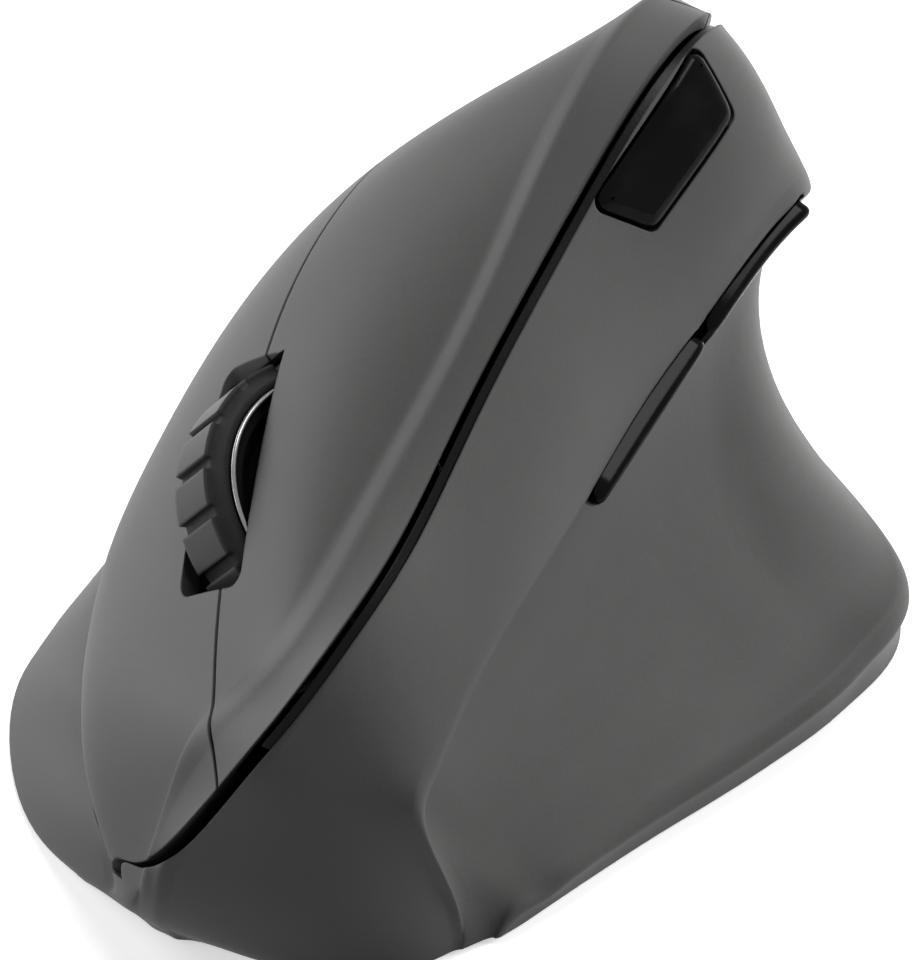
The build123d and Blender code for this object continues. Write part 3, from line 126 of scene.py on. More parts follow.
def millimetres(x: float, y: float, z: float) -> Vector:
    """Point in the frame of the mouse, given in millimetres."""
    return Vector((x, y, z)) * MILLIMETRE


def lightened(colour: Colour, factor: float = 1.0, extra: float = 0.0) -> Colour:
    """Colour times a factor plus an extra tone, with no channel past 1."""
    return tuple(min(1.0, value * factor + extra) for value in colour)


class Scalar:
    """A number that changes over a surface, with the arithmetic of a float."""

    def __init__(self, graph: "Graph", socket: bpy.types.NodeSocket) -> None:
        """Wraps one socket of a graph.

        Args:
            graph: The graph that new Math nodes are added to.
            socket: The output socket that carries the number.
        """
        self.graph = graph
        self.socket = socket

    def apply(self, operation: str, *others: Number) -> "Scalar":
        """Result of one Math operation on this number and others."""
        return self.graph.math(operation, self, *others)

    def __add__(self, other: Number) -> "Scalar":
        """Sum."""
        return self.graph.math("ADD", self, other)

    def __radd__(self, other: Number) -> "Scalar":
        """Sum, with the number on the left."""
        return self.graph.math("ADD", other, self)

    def __sub__(self, other: Number) -> "Scalar":
        """Difference."""
        return self.graph.math("SUBTRACT", self, other)

    def __rsub__(self, other: Number) -> "Scalar":
        """Difference, with the number on the left."""
        return self.graph.math("SUBTRACT", other, self)

    def __mul__(self, other: Number) -> "Scalar":
        """Product."""
        return self.graph.math("MULTIPLY", self, other)

    def __truediv__(self, other: Number) -> "Scalar":
        """Quotient."""
        return self.graph.math("DIVIDE", self, other)

    def swing(self, weight: float) -> "Scalar":
        """Swing of a pattern about its middle, times a weight."""
        return (self - MIDDLE) * weight

    def between(self, low: float, high: float) -> "Scalar":
        """0 below low, 1 above high and a smooth rise between them."""
        node = self.graph.node(
            "ShaderNodeMapRange",
            {"interpolation_type": "SMOOTHSTEP"},
            {"Value": self, "From Min": low, "From Max": high},
        )
        return Scalar(self.graph, node.outputs["Result"])


class Graph:
    """Node tree of a material or of the world."""

    def __init__(self, tree: bpy.types.NodeTree) -> None:
        """Empties a tree.

        Args:
            tree: The node tree that the methods add to.
        """
        self.nodes = tree.nodes
        self.links = tree.links
        self.nodes.clear()

    def node(
        self, kind: str, settings: dict[str, object], inputs: dict[Union[str, int], object]
    ) -> bpy.types.Node:
        """Adds one node.

        Args:
            kind: Type of the node.
            settings: Its own properties, which are set first.
            inputs: Values or links of its sockets, by name or place.

        Returns:
            The new node.
        """
        made = self.nodes.new(kind)
        for name, value in settings.items():
            setattr(made, name, value)
        for name, value in inputs.items():
            self.feed(made.inputs[name], value)
        return made

    def feed(self, socket: bpy.types.NodeSocket, value: object) -> None:
        """Gives a socket a link or a constant.

        Args:
            socket: The input socket.
            value: A Scalar, an output socket, a number or a colour.
        """
        if isinstance(value, Scalar):
            self.links.new(value.socket, socket)
        elif isinstance(value, bpy.types.NodeSocket):
            self.links.new(value, socket)
        elif isinstance(value, tuple) and socket.type == "RGBA":
            socket.default_value = (*value, 1.0)
        else:
            socket.default_value = value

    def math(self, operation: str, *values: Number) -> Scalar:
        """Adds one Math node.

        Args:
            operation: Name of the operation.
            values: The operands.

        Returns:
            The result.
        """
        made = self.node("ShaderNodeMath", {"operation": operation}, dict(enumerate(values)))
        return Scalar(self, made.outputs[0])

    def mix_shaders(
        self, factor: Number, low: bpy.types.Node, high: bpy.types.Node
    ) -> bpy.types.Node:
        """Shader between two shader nodes, which is the first where the factor is 0."""
        sockets = {0: factor, 1: low.outputs[0], 2: high.outputs[0]}
        return self.node("ShaderNodeMixShader", {}, sockets)

    def seen_directly(self) -> Scalar:
        """Tells the rays that see the plain background from those that only light.

        Returns:
            1 for the rays that see it, and 0 for the others.
        """
        path = self.node("ShaderNodeLightPath", {}, {})
        seen = Scalar(self, path.outputs[Ray.CAMERA.value])
        for ray in (Ray.GLOSSY, Ray.TRANSMISSION):
            seen = seen.apply("MAXIMUM", Scalar(self, path.outputs[ray.value]))
        return seen


class SurfaceGraph(Graph):
    """Node tree of one material."""

    def __init__(self, name: str) -> None:
        """Starts a material that holds only its shader.

        Args:
            name: Name of the material.
        """
        self.material = bpy.data.materials.new(name)
        self.material.use_nodes = True
        super().__init__(self.material.node_tree)
        self.shader = self.node("ShaderNodeBsdfPrincipled", {}, {})
        shown = {"Surface": self.shader.outputs["BSDF"]}
        self.output = self.node("ShaderNodeOutputMaterial", {}, shown)
        self.object_place = self.node("ShaderNodeTexCoord", {}, {}).outputs["Object"]

    def place(self, stretch: Stretch = (1.0, 1.0, 1.0)) -> bpy.types.NodeSocket:
        """Object coordinates in millimetres.

        Args:
            stretch: Factor along each axis.

        Returns:
            The coordinates.
        """
        scale = tuple(value / MILLIMETRE for value in stretch)
        made = self.node("ShaderNodeMapping", {}, {"Vector": self.object_place, "Scale": scale})
        return made.outputs["Vector"]

    def seen_from(self, origin: Vector, axis: Vector) -> tuple[Scalar, Scalar]:
        """Distance from an axis and place along it, in millimetres.

        Args:
            origin: A point on the axis, in metres.
            axis: Direction of the axis.

        Returns:
            The distance from the axis and the place along it.
        """
        turn = axis.normalized().to_track_quat("Z", "Y").to_matrix().transposed()
        shift = self.node(
            "ShaderNodeVectorMath",
            {"operation": "SUBTRACT"},
            {0: self.object_place, 1: tuple(origin)},
        ).outputs[0]
        parts = []
        for row in turn:
            dot = self.node(
                "ShaderNodeVectorMath",
                {"operation": "DOT_PRODUCT"},
                {0: shift, 1: tuple(value / MILLIMETRE for value in row)},
            )
            parts.append(Scalar(self, dot.outputs["Value"]))
        radius = (parts[0] * parts[0] + parts[1] * parts[1]).apply("SQRT")
        return radius, parts[2]

    def noise(
        self, size: float, detail: Detail, stretch: Stretch = (1.0, 1.0, 1.0)
    ) -> Scalar:
        """Soft noise between 0 and 1.

        Args:
            size: Size of its blots in millimetres.
            detail: How many finer layers it has.
            stretch: Stretch of the pattern along each axis.

        Returns:
            The noise.
        """
        made = self.node(
            "ShaderNodeTexNoise",
            {},
            {"Vector": self.place(stretch), "Scale": 1.0 / size, "Detail": detail.value},
        )
        return Scalar(self, made.outputs["Fac"])

    def cells(self, size: float) -> Scalar:
        """Distance to the nearest of many scattered points, for moulded grain.

        Args:
            size: Spacing of the points in millimetres.

        Returns:
            The distance, as a share of the spacing.
        """
        sockets = {"Vector": self.place(), "Scale": 1.0 / size}
        made = self.node("ShaderNodeTexVoronoi", {}, sockets)
        return Scalar(self, made.outputs["Distance"])

    def blend(self, factor: Number, low: object, high: object) -> bpy.types.NodeSocket:
        """Colour between two colours.

        Args:
            factor: 0 for the first colour and 1 for the second.
            low: The first colour.
            high: The second colour.

        Returns:
            The mixed colour.
        """
        made = self.node("ShaderNodeMix", {"data_type": "RGBA"}, {})
        self.feed(made.inputs[MIX_FACTOR], factor)
        self.feed(made.inputs[MIX_LOW], low)
        self.feed(made.inputs[MIX_HIGH], high)
        return made.outputs[MIX_RESULT]

    def rounded_normal(self, radius: float) -> bpy.types.NodeSocket:
        """Normal that rounds sharp edges by a radius in millimetres."""
        settings = {"samples": BEVEL_SAMPLES}
        made = self.node("ShaderNodeBevel", settings, {"Radius": radius * MILLIMETRE})
        return made.outputs["Normal"]

    def relief(self, height: Number, depth: float, edge: float) -> None:
        """Feeds the normal with a bump.

        Args:
            height: The height pattern between 0 and 1.
            depth: Its real depth in millimetres.
            edge: Radius in millimetres by which sharp edges look rounded.
        """
        inputs = {"Height": height, "Distance": depth * MILLIMETRE, "Strength": 1.0}
        inputs["Normal"] = self.rounded_normal(edge)
        made = self.node("ShaderNodeBump", {}, inputs)
        self.surface(Normal=made.outputs["Normal"])

    def surface(self, **values: object) -> None:
        """Sets sockets of the shader, with underscores for spaces in their names."""
        for name, value in values.items():
            self.feed(self.shader.inputs[name.replace("_", " ")], value)


@dataclass(frozen=True)
class Finish:
    """Finish of a surface. Sizes, depths and edges of all finishes are in millimetres."""

    name: str

    def build(self) -> bpy.types.Material:
        """Builds the material.

        Returns:
            The material.
        """
        graph = SurfaceGraph(self.name)
        self.paint(graph)
        return graph.material

    def paint(self, graph: SurfaceGraph) -> None:
        """Adds the looks, as each kind of finish does in its own way.

        Args:
            graph: The graph of its material.
        """
        raise NotImplementedError


@dataclass(frozen=True)
class SoftTouch(Finish):
    """Soft matte coating of the finger plates, the palm cover and the thumb side."""

    colour: Colour
    lift: float = 1.35
    tone: float = 0.35
    roughness: float = 0.52
    specular: float = 0.22
    cloud_size: float = 22.0
    cloud_weight: float = 0.7
    mottle_size: float = 3.5
    mottle_weight: float = 0.4
    speck_size: float = 0.3
    speck_weight: float = 0.7
    rubbed_size: float = 30.0
    rubbed_range: Span = (0.5, 0.75)
    rubbed_polish: float = 0.05
    mottle_polish: float = 0.06
    speck_polish: float = 0.05
    grain_size: float = 0.16
    grain_share: float = 0.6
    spray_size: float = 0.09
    grain_depth: float = 0.006
    edge: float = 0.35

    def paint(self, graph: SurfaceGraph) -> None:
        """Adds faint mottling, handling sheen and a fine sprayed grain.

        Args:
            graph: The graph of its material.
        """
        cloud = graph.noise(self.cloud_size, Detail.BROKEN)
        mottle = graph.noise(self.mottle_size, Detail.CLOUDY)
        speck = graph.noise(self.speck_size, Detail.PLAIN)
        tone = self.tone + cloud.swing(self.cloud_weight)
        tone = tone + mottle.swing(self.mottle_weight) + speck.swing(self.speck_weight)
        light = lightened(self.colour, self.lift)
        graph.surface(Base_Color=graph.blend(tone, self.colour, light))
        rubbed = graph.noise(self.rubbed_size, Detail.PLAIN).between(*self.rubbed_range)
        rough = self.roughness - rubbed * self.rubbed_polish
        rough = rough + mottle.swing(self.mottle_polish) + speck.swing(self.speck_polish)
        graph.surface(Roughness=rough, Specular_IOR_Level=self.specular)
        spray = graph.noise(self.spray_size, Detail.PLAIN) * (1 - self.grain_share)
        grain = graph.cells(self.grain_size) * self.grain_share + spray
        graph.relief(grain, self.grain_depth, self.edge)


@dataclass(frozen=True)
class Moulded(Finish):
    """Plain moulded plastic with a spark-eroded grain."""

    colour: Colour
    roughness: float = 0.55
    grain_size: float = 0.25
    grain_depth: float = 0.012
    edge: float = 0.15
    gloss: float = 0.3
    lift: float = 1.3
    lift_floor: float = 0.001
    flow_size: float = 9.0
    flow_stretch: Stretch = (1.0, 0.35, 1.0)
    flow_weight: float = 0.12
    dust_tone: float = 0.02
    dust_size: float = 0.8
    dust_range: Span = (0.62, 0.8)
    dust_cover: float = 0.35
    dust_weight: float = 0.08

    def paint(self, graph: SurfaceGraph) -> None:
        """Adds grain, slight flow marks and a little dust.

        Args:
            graph: The graph of its material.
        """
        flow = graph.noise(self.flow_size, Detail.BROKEN, self.flow_stretch)
        dust = graph.noise(self.dust_size, Detail.CRUMBLED).between(*self.dust_range)
        light = lightened(self.colour, self.lift, self.lift_floor)
        pale = lightened(self.colour, extra=self.dust_tone)
        base = graph.blend(flow, self.colour, light)
        graph.surface(Base_Color=graph.blend(dust * self.dust_cover, base, pale))
        rough = self.roughness + flow.swing(self.flow_weight) + dust * self.dust_weight
        graph.surface(Roughness=rough, Specular_IOR_Level=self.gloss)
        graph.relief(graph.cells(self.grain_size), self.grain_depth, self.edge)


@dataclass(frozen=True)
class GlossBlack(Finish):
    """Polished black plastic of the keys."""

    colour: Colour
    roughness: float = 0.07
    specular: float = 0.06
    print_colour: Colour = (0.006, 0.006, 0.0062)
    print_size: float = 4.5
    print_range: Span = (0.5, 0.7)
    print_cover: float = 0.5
    ridge_size: float = 0.35
    ridge_stretch: Stretch = (1.0, 0.25, 1.0)
    ridge_weight: float = 0.08
    hair_size: float = 0.6
    hair_stretch: Stretch = (6.0, 0.15, 6.0)
    hair_range: Span = (0.66, 0.72)
    hair_weight: float = 0.06
    wave_size: float = 7.0
    wave_depth: float = 0.01
    edge: float = 0.45

    def paint(self, graph: SurfaceGraph) -> None:
        """Adds faint fingerprints and hairline scratches.

        Args:
            graph: The graph of its material.
        """
        prints = graph.noise(self.print_size, Detail.CLOUDY).between(*self.print_range)
        ridges = graph.noise(self.ridge_size, Detail.PLAIN, self.ridge_stretch)
        hair = graph.noise(self.hair_size, Detail.BROKEN, self.hair_stretch)
        hair = hair.between(*self.hair_range)
        colour = graph.blend(prints * self.print_cover, self.colour, self.print_colour)
        rough = self.roughness + prints * ridges * self.ridge_weight + hair * self.hair_weight
        graph.surface(Base_Color=colour, Roughness=rough, Specular_IOR_Level=self.specular)
        graph.relief(graph.noise(self.wave_size, Detail.PLAIN), self.wave_depth, self.edge)


@dataclass(frozen=True)
class Rubber(Finish):
    """Moulded rubber of the tyre."""

    colour: Colour
    origin: Vector
    axis: Vector
    crest: float
    wear_and_shade_depth: float = 0.5
    worn_polish: float = 0.14
    # Painted shade: the share of the rubber's colour that is left in the grooves.
    painted_groove_shade: float = 0.3
    lift: float = 1.5
    lift_floor: float = 0.004
    roughness: float = 0.6
    specular: float = 0.22
    tone_size: float = 2.5
    tone_weight: float = 0.1
    dust_colour: Colour = (0.03, 0.03, 0.03)
    dust_size: float = 0.7
    dust_range: Span = (0.5, 0.75)
    dust_cover: float = 0.12
    dust_weight: float = 0.15
    grain_size: float = 0.2
    grain_share: float = 0.7
    fine_size: float = 0.08
    grain_depth: float = 0.014
    edge: float = 0.55

    def paint(self, graph: SurfaceGraph) -> None:
        """Adds rubber that is rubbed smooth on the pads, with painted shade darkening the grooves and
        dust in them.

        Args:
            graph: The graph of its material.
        """
        radius, _ = graph.seen_from(self.origin, self.axis)
        # 1 on the pads and 0 in the grooves; it steers the real wear polish, the dust and the painted
        # shade in the grooves.
        worn_pads_shaded_grooves = radius.between(self.crest - self.wear_and_shade_depth, self.crest)
        dust = graph.noise(self.dust_size, Detail.CRUMBLED).between(*self.dust_range) * (1 - worn_pads_shaded_grooves)
        tone = graph.noise(self.tone_size, Detail.BROKEN)
        pad = graph.blend(tone, self.colour, lightened(self.colour, self.lift, self.lift_floor))
        # Painted shade: the grooves get a darker copy of the rubber's colour.
        base = graph.blend(worn_pads_shaded_grooves, lightened(self.colour, self.painted_groove_shade), pad)
        graph.surface(Base_Color=graph.blend(dust * self.dust_cover, base, self.dust_colour))
        rough = self.roughness - worn_pads_shaded_grooves * self.worn_polish
        rough = rough + tone.swing(self.tone_weight) + dust * self.dust_weight
        graph.surface(Roughness=rough, Specular_IOR_Level=self.specular)
        fine = graph.noise(self.fine_size, Detail.PLAIN) * (1 - self.grain_share)
        grain = graph.cells(self.grain_size) * self.grain_share + fine
        graph.relief(grain, self.grain_depth, self.edge)


@dataclass(frozen=True)
class TurnedPlastic(Finish):
    """Satin plastic of the hub with faint turning rings."""

    colour: Colour
    origin: Vector
    axis: Vector
    lift: float = 1.4
    lift_floor: float = 0.003
    roughness: float = 0.34
    specular: float = 0.04
    ring_rate: float = 18.0
    ring_waver: float = 2.0
    waver_size: float = 3.0
    ring_weight: float = 0.06
    tone_size: float = 4.0
    tone_weight: float = 0.1
    ring_share: float = 0.4
    grain_size: float = 0.2
    grain_depth: float = 0.004
    edge: float = 0.2

    def paint(self, graph: SurfaceGraph) -> None:
        """Adds rings around the axle.

        Args:
            graph: The graph of its material.
        """
        radius, _ = graph.seen_from(self.origin, self.axis)
        waver = graph.noise(self.waver_size, Detail.CLOUDY) * self.ring_waver
        rings = (radius * self.ring_rate + waver).apply("SINE") * MIDDLE + MIDDLE
        tone = graph.noise(self.tone_size, Detail.BROKEN)
        light = lightened(self.colour, self.lift, self.lift_floor)
        graph.surface(Base_Color=graph.blend(tone, self.colour, light))
        rough = self.roughness + rings * self.ring_weight + tone.swing(self.tone_weight)
        graph.surface(Roughness=rough, Specular_IOR_Level=self.specular)
        grain = graph.noise(self.grain_size, Detail.PLAIN) * (1 - self.ring_share)
        graph.relief(rings * self.ring_share + grain, self.grain_depth, self.edge)


@dataclass(frozen=True)
class Metal(Finish):
    """Bare or plated metal."""

    colour: Colour
    roughness: float
    working: Working = Working.PLATED
    tarnish: Colour = (0.32, 0.3, 0.27)
    line_size: float = 0.25
    line_weight: float = 0.12
    line_depth: float = 0.003
    dull_size: float = 2.2
    dull_range: Span = (0.55, 0.8)
    dull_cover: float = 0.4
    dull_weight: float = 0.15
    edge: float = 0.08

    def paint(self, graph: SurfaceGraph) -> None:
        """Adds drawn lines and light tarnish.

        Args:
            graph: The graph of its material.
        """
        lines = graph.noise(self.line_size, Detail.BROKEN, self.working.value)
        dull = graph.noise(self.dull_size, Detail.CRUMBLED).between(*self.dull_range)
        colour = graph.blend(dull * self.dull_cover, self.colour, self.tarnish)
        rough = self.roughness + lines.swing(self.line_weight) + dull * self.dull_weight
        graph.surface(Base_Color=colour, Metallic=1.0, Roughness=rough)
        graph.relief(lines, self.line_depth, self.edge)


@dataclass(frozen=True)
class CircuitBoard(Finish):
    """Green solder mask over copper tracks."""

    mask: Colour = (0.008, 0.075, 0.028)
    deep_mask: Colour = (0.01, 0.1, 0.04)
    track: Colour = (0.02, 0.16, 0.06)
    copper: Colour = (0.62, 0.42, 0.18)
    track_offset: float = 0.35
    track_squash: float = 1.4
    track_rate: float = 0.55
    track_width: float = 0.07
    track_softness: float = 0.1
    track_length: float = 1.9
    track_pitch: float = 0.45
    hole_spacing: float = 2.6
    hole_range: Span = (0.1, 0.13)
    hole_shine: float = 0.9
    hole_polish: float = 0.05
    tone_size: float = 6.0
    tone_cover: float = 0.25
    tone_weight: float = 0.1
    roughness: float = 0.32
    line_share: float = 0.6
    relief_depth: float = 0.03
    edge: float = 0.06

    def tracks(self, graph: SurfaceGraph) -> Scalar:
        """Pattern of the tracks.

        Args:
            graph: The material's graph.

        Returns:
            1 on a track and 0 beside it.
        """
        sizes = {
            "Scale": self.track_rate,
            "Mortar Size": self.track_width,
            "Mortar Smooth": self.track_softness,
            "Brick Width": self.track_length,
            "Row Height": self.track_pitch,
        }
        layout = {"offset": self.track_offset, "squash": self.track_squash}
        bricks = graph.node("ShaderNodeTexBrick", layout, {"Vector": graph.place(), **sizes})
        return Scalar(graph, bricks.outputs["Fac"])

    def paint(self, graph: SurfaceGraph) -> None:
        """Adds tracks, plated holes and a satin mask.

        Args:
            graph: The graph of its material.
        """
        line = self.tracks(graph)
        holes = 1 - graph.cells(self.hole_spacing).between(*self.hole_range)
        tone = graph.noise(self.tone_size, Detail.CLOUDY)
        base = graph.blend(line, self.mask, self.track)
        base = graph.blend(tone * self.tone_cover, base, self.deep_mask)
        graph.surface(Base_Color=graph.blend(holes, base, self.copper))
        graph.surface(Metallic=holes * self.hole_shine)
        rough = self.roughness + tone * self.tone_weight - holes * self.hole_polish
        graph.surface(Roughness=rough)
        height = line * self.line_share + holes * (1 - self.line_share)
        graph.relief(height, self.relief_depth, self.edge)


@dataclass(frozen=True)
class ClearLens(Finish):
    """Clear moulded lens."""

    clear: Colour = (0.86, 0.89, 0.92)
    hazy: Colour = (0.94, 0.95, 0.96)
    roughness: float = 0.05
    refraction: float = 1.49
    clearness: float = 0.85
    haze_size: float = 2.0
    haze_weight: float = 0.08
    wave_size: float = 1.2
    wave_depth: float = 0.004
    edge: float = 0.1

    def paint(self, graph: SurfaceGraph) -> None:
        """Adds plastic that lets light through, with faint haze.

        Args:
            graph: The graph of its material.
        """
        haze = graph.noise(self.haze_size, Detail.BROKEN)
        graph.surface(Base_Color=graph.blend(haze, self.clear, self.hazy))
        graph.surface(Roughness=self.roughness + haze * self.haze_weight)
        graph.surface(Transmission_Weight=self.clearness, IOR=self.refraction)
        graph.relief(graph.noise(self.wave_size, Detail.PLAIN), self.wave_depth, self.edge)


@dataclass(frozen=True)
class CellSleeve(Finish):
    """Printed sleeve of the battery, with plain bands only.

    Places along the cell are shares of its length, from the rear.
    """

    origin: Vector
    axis: Vector
    length: float
    body: Colour = (0.03, 0.032, 0.036)
    band: Colour = (0.5, 0.36, 0.14)
    metal: Colour = (0.72, 0.72, 0.7)
    band_start: Span = (0.69, 0.695)
    rear_end: Span = (0.01, 0.013)
    front_end: Span = (0.987, 0.99)
    rub_size: float = 1.5
    rub_range: Span = (0.6, 0.85)
    rub_cover: float = 0.3
    rub_weight: float = 0.2
    bare_shine: float = 0.9
    band_shine: float = 0.3
    roughness: float = 0.28
    wrinkle_size: float = 0.8
    wrinkle_depth: float = 0.01
    edge: float = 0.25

    def paint(self, graph: SurfaceGraph) -> None:
        """Adds a copper band at one end and bare metal at both ends.

        Args:
            graph: The graph of its material.
        """
        _, along = graph.seen_from(self.origin, self.axis)
        share = along / self.length
        band = share.between(*self.band_start)
        bare = share.between(*self.front_end) + (1 - share.between(*self.rear_end))
        rub = graph.noise(self.rub_size, Detail.CRUMBLED).between(*self.rub_range)
        colour = graph.blend(band, self.body, self.band)
        colour = graph.blend(rub * self.rub_cover, colour, self.metal)
        graph.surface(Base_Color=graph.blend(bare, colour, self.metal))
        graph.surface(Metallic=bare * self.bare_shine + band * self.band_shine)
        graph.surface(Roughness=self.roughness + rub * self.rub_weight)
        wrinkles = graph.noise(self.wrinkle_size, Detail.CLOUDY)
        graph.relief(wrinkles, self.wrinkle_depth, self.edge)


def dress(frame: dict, finish: Finish, *nodes: str) -> None:
    """Gives CAD nodes one finish.

    Args:
        finish: The finish.
        nodes: Names of the nodes.
    """
    material = finish.build()
    for name in nodes:
        obj = frame["nodes"][name]
        obj.data.materials.clear()
        obj.data.materials.append(material)
        LOG.info("%s: %s", name, material.name)


@dataclass(frozen=True)
class KeyCap:
    """Polished key with pillowed edges, made over the solid of the same name.

    Lengths are in millimetres. The face follows the solid's, raised by the lift, and its rim
    rolls down by the drop over the width of the edge. Facing and squareness tell the outer
    face and the stem's end by how straight they look out of and into the surface.
    """

    node: str
    edge: float = 1.5
    drop: float = 0.8
    lift: float = 0.0
    skirt: float = 2.6
    stem_gap: float = 0.06
    stem_depth: float = 1.0
    squareness: float = 0.9999
    spacing: float = 0.4
    rounding_passes: int = 5
    rings: Sequence[float] = (0.08, 0.14, 0.2, 0.26, 0.34, 0.44)
    grid: float = 1.0
    facing: float = 0.6
    stem_sides: int = 24

    def build(self, frame: dict, finish: bpy.types.Material) -> None:
        """Builds the key and lets it stand for its solid.

        Args:
            finish: Material of the key.
        """
        turn = self.outward(frame).to_track_quat("Z", "Y").to_matrix()
        solid = bmesh.new()
        solid.from_mesh(frame["nodes"][self.node].data)
        bmesh.ops.remove_doubles(solid, verts=solid.verts, dist=SAME_POINT)
        bmesh.ops.rotate(solid, verts=solid.verts, cent=(0, 0, 0), matrix=turn.transposed())
        solid.normal_update()
        outline = self.outline(solid)
        cap = self.face(outline)
        tree = BVHTree.FromBMesh(solid)
        self.raise_face(cap, outline, tree)
        self.close(cap)
        self.add_stem(cap, solid, tree, outline)
        solid.free()
        bmesh.ops.recalc_face_normals(cap, faces=cap.faces)
        bmesh.ops.rotate(cap, verts=cap.verts, cent=(0, 0, 0), matrix=turn)
        piece = add_piece(self.node + "_cap", cap, finish)
        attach(piece, self.node)
        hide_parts(self.node)

    def outward(self, frame: dict) -> Vector:
        """Direction out of the surface, which is against the press of the key.


        Returns:
            The direction, of length 1.
        """
        joints = frame["record"]["behaviour"]["joints"]
        press = next(joint for joint in joints if joint["child"] == self.node)
        return -Vector(press["axis"])

    def outline(self, solid: bmesh.types.BMesh) -> list[Vector]:
        """Rim of the solid's outer face, evenly spaced and with rounded corners.

        Args:
            solid: The solid, turned so that Z points out of the surface.

        Returns:
            Points of the rim in order.
        """
        top = {face for face in solid.faces if face.normal.z > self.facing}
        rim = [edge for edge in solid.edges if sum(face in top for face in edge.link_faces) == 1]
        beside: dict[bmesh.types.BMVert, list[bmesh.types.BMVert]] = {}
        for edge in rim:
            first, last = edge.verts
            beside.setdefault(first, []).append(last)
            beside.setdefault(last, []).append(first)
        walk = [rim[0].verts[0], rim[0].verts[1]]
        while walk[-1] is not walk[0]:
            walk.append(next(vert for vert in beside[walk[-1]] if vert is not walk[-2]))
        return self.rounded(self.even([vert.co.copy() for vert in walk]))

    def even(self, points: list[Vector]) -> list[Vector]:
        """Closed line of points, spaced evenly.

        Args:
            points: The line, whose last point is its first.

        Returns:
            The new points, without the repeated one.
        """
        steps = [(last - first).length for first, last in zip(points, points[1:])]
        count = round(sum(steps) / (self.spacing * MILLIMETRE))
        pace = sum(steps) / count
        result = []
        travelled = 0.0
        for first, last, step in zip(points, points[1:], steps):
            while len(result) < count and len(result) * pace <= travelled + step:
                share = (len(result) * pace - travelled) / max(step, SHORTEST_STEP)
                result.append(first.lerp(last, share))
            travelled += step
        return result

    def rounded(self, points: list[Vector]) -> list[Vector]:
        """Closed line with its corners rounded by a few passes of smoothing.

        Args:
            points: The line.

        Returns:
            The rounded line.
        """
        for _ in range(self.rounding_passes):
            before = points[-1:] + points[:-1]
            after = points[1:] + points[:1]
            points = [(a + 2 * b + c) / 4 for a, b, c in zip(before, points, after)]
        return points

    def face(self, outline: list[Vector]) -> bmesh.types.BMesh:
        """Flat face with close rings at its rim and a grid over it.

        Args:
            outline: Points of the rim.

        Returns:
            The flat mesh.
        """
        cap = bmesh.new()
        middle = cap.faces.new([cap.verts.new((point.x, point.y, 0)) for point in outline])
        for ring in self.rings:
            bmesh.ops.inset_region(
                cap, faces=[middle], thickness=ring * MILLIMETRE, use_boundary=True
            )
        for axis in (Vector((1, 0, 0)), Vector((0, 1, 0))):
            places = [point.dot(axis) for point in outline]
            cut = min(places) + self.grid * MILLIMETRE
            while cut < max(places):
                everything = [*cap.verts, *cap.edges, *cap.faces]
                bmesh.ops.bisect_plane(
                    cap, geom=everything, dist=SAME_LINE, plane_co=axis * cut, plane_no=axis
                )
                cut += self.grid * MILLIMETRE
        return cap

    def raise_face(self, cap: bmesh.types.BMesh, outline: list[Vector], solid: BVHTree) -> None:
        """Lays the flat face on the solid's outer face and rolls its rim down.

        Args:
            cap: The flat mesh.
            outline: Points of the rim.
            solid: The solid, as a tree to look up heights in.
        """
        flat = [Vector((point.x, point.y, 0)) for point in outline]
        pairs = list(zip(flat, flat[1:] + flat[:1]))
        for vert in cap.verts:
            rim = min(self.distance(vert.co, first, last) for first, last in pairs)
            share = min(1.0, rim / (self.edge * MILLIMETRE))
            sag = self.drop * MILLIMETRE * (1 - math.sqrt(1 - (1 - share) ** 2))
            vert.co.z = self.height(solid, vert.co, outline) + self.lift * MILLIMETRE - sag

    def distance(self, point: Vector, first: Vector, last: Vector) -> float:
        """Distance of a point from a stretch of the rim, seen along Z.

        Args:
            point: The point.
            first: One end of the stretch.
            last: Its other end.

        Returns:
            The distance.
        """
        nearest, share = intersect_point_line(point, first, last)
        if share < 0:
            nearest = first
        elif share > 1:
            nearest = last
        return (nearest - point).length

    def height(self, solid: BVHTree, point: Vector, outline: list[Vector]) -> float:
        """Height of the solid's outer face at a point, or of its rim beside a miss.

        Args:
            solid: The solid, as a tree.
            point: The point, seen along Z.
            outline: Points of the rim.

        Returns:
            The height along Z.
        """
        above = Vector((point.x, point.y, RAY_START))
        hit, normal, _, _ = solid.ray_cast(above, Vector((0, 0, -1)))
        if hit is not None and normal.z > self.facing:
            return hit.z
        return min(outline, key=lambda rim: (rim.xy - point.xy).length).z

    def close(self, cap: bmesh.types.BMesh) -> None:
        """Adds the skirt under the rim and the bottom of the key.

        Args:
            cap: The mesh of the key, which is changed.
        """
        rim = [edge for edge in cap.edges if edge.is_boundary]
        made = bmesh.ops.extrude_edge_only(cap, edges=rim)["geom"]
        low = [item for item in made if isinstance(item, bmesh.types.BMVert)]
        bmesh.ops.translate(cap, verts=low, vec=(0, 0, -self.skirt * MILLIMETRE))
        bmesh.ops.holes_fill(cap, edges=[edge for edge in cap.edges if edge.is_boundary], sides=0)

    def stem_end(self, solid: bmesh.types.BMesh) -> tuple[Vector, float]:
        """Round end of the solid's own stem.

        Args:
            solid: The turned solid.

        Returns:
            The middle of the end and its radius.
        """
        flat = [face for face in solid.faces if face.normal.z < -self.squareness]
        lowest = min(face.calc_center_median().z for face in flat)
        reach = lowest + self.stem_gap * MILLIMETRE
        end = [face for face in flat if face.calc_center_median().z < reach]
        area = sum(face.calc_area() for face in end)
        place = sum((face.calc_center_median() * face.calc_area() for face in end), Vector()) / area
        return place, max((vert.co - place).length for face in end for vert in face.verts)

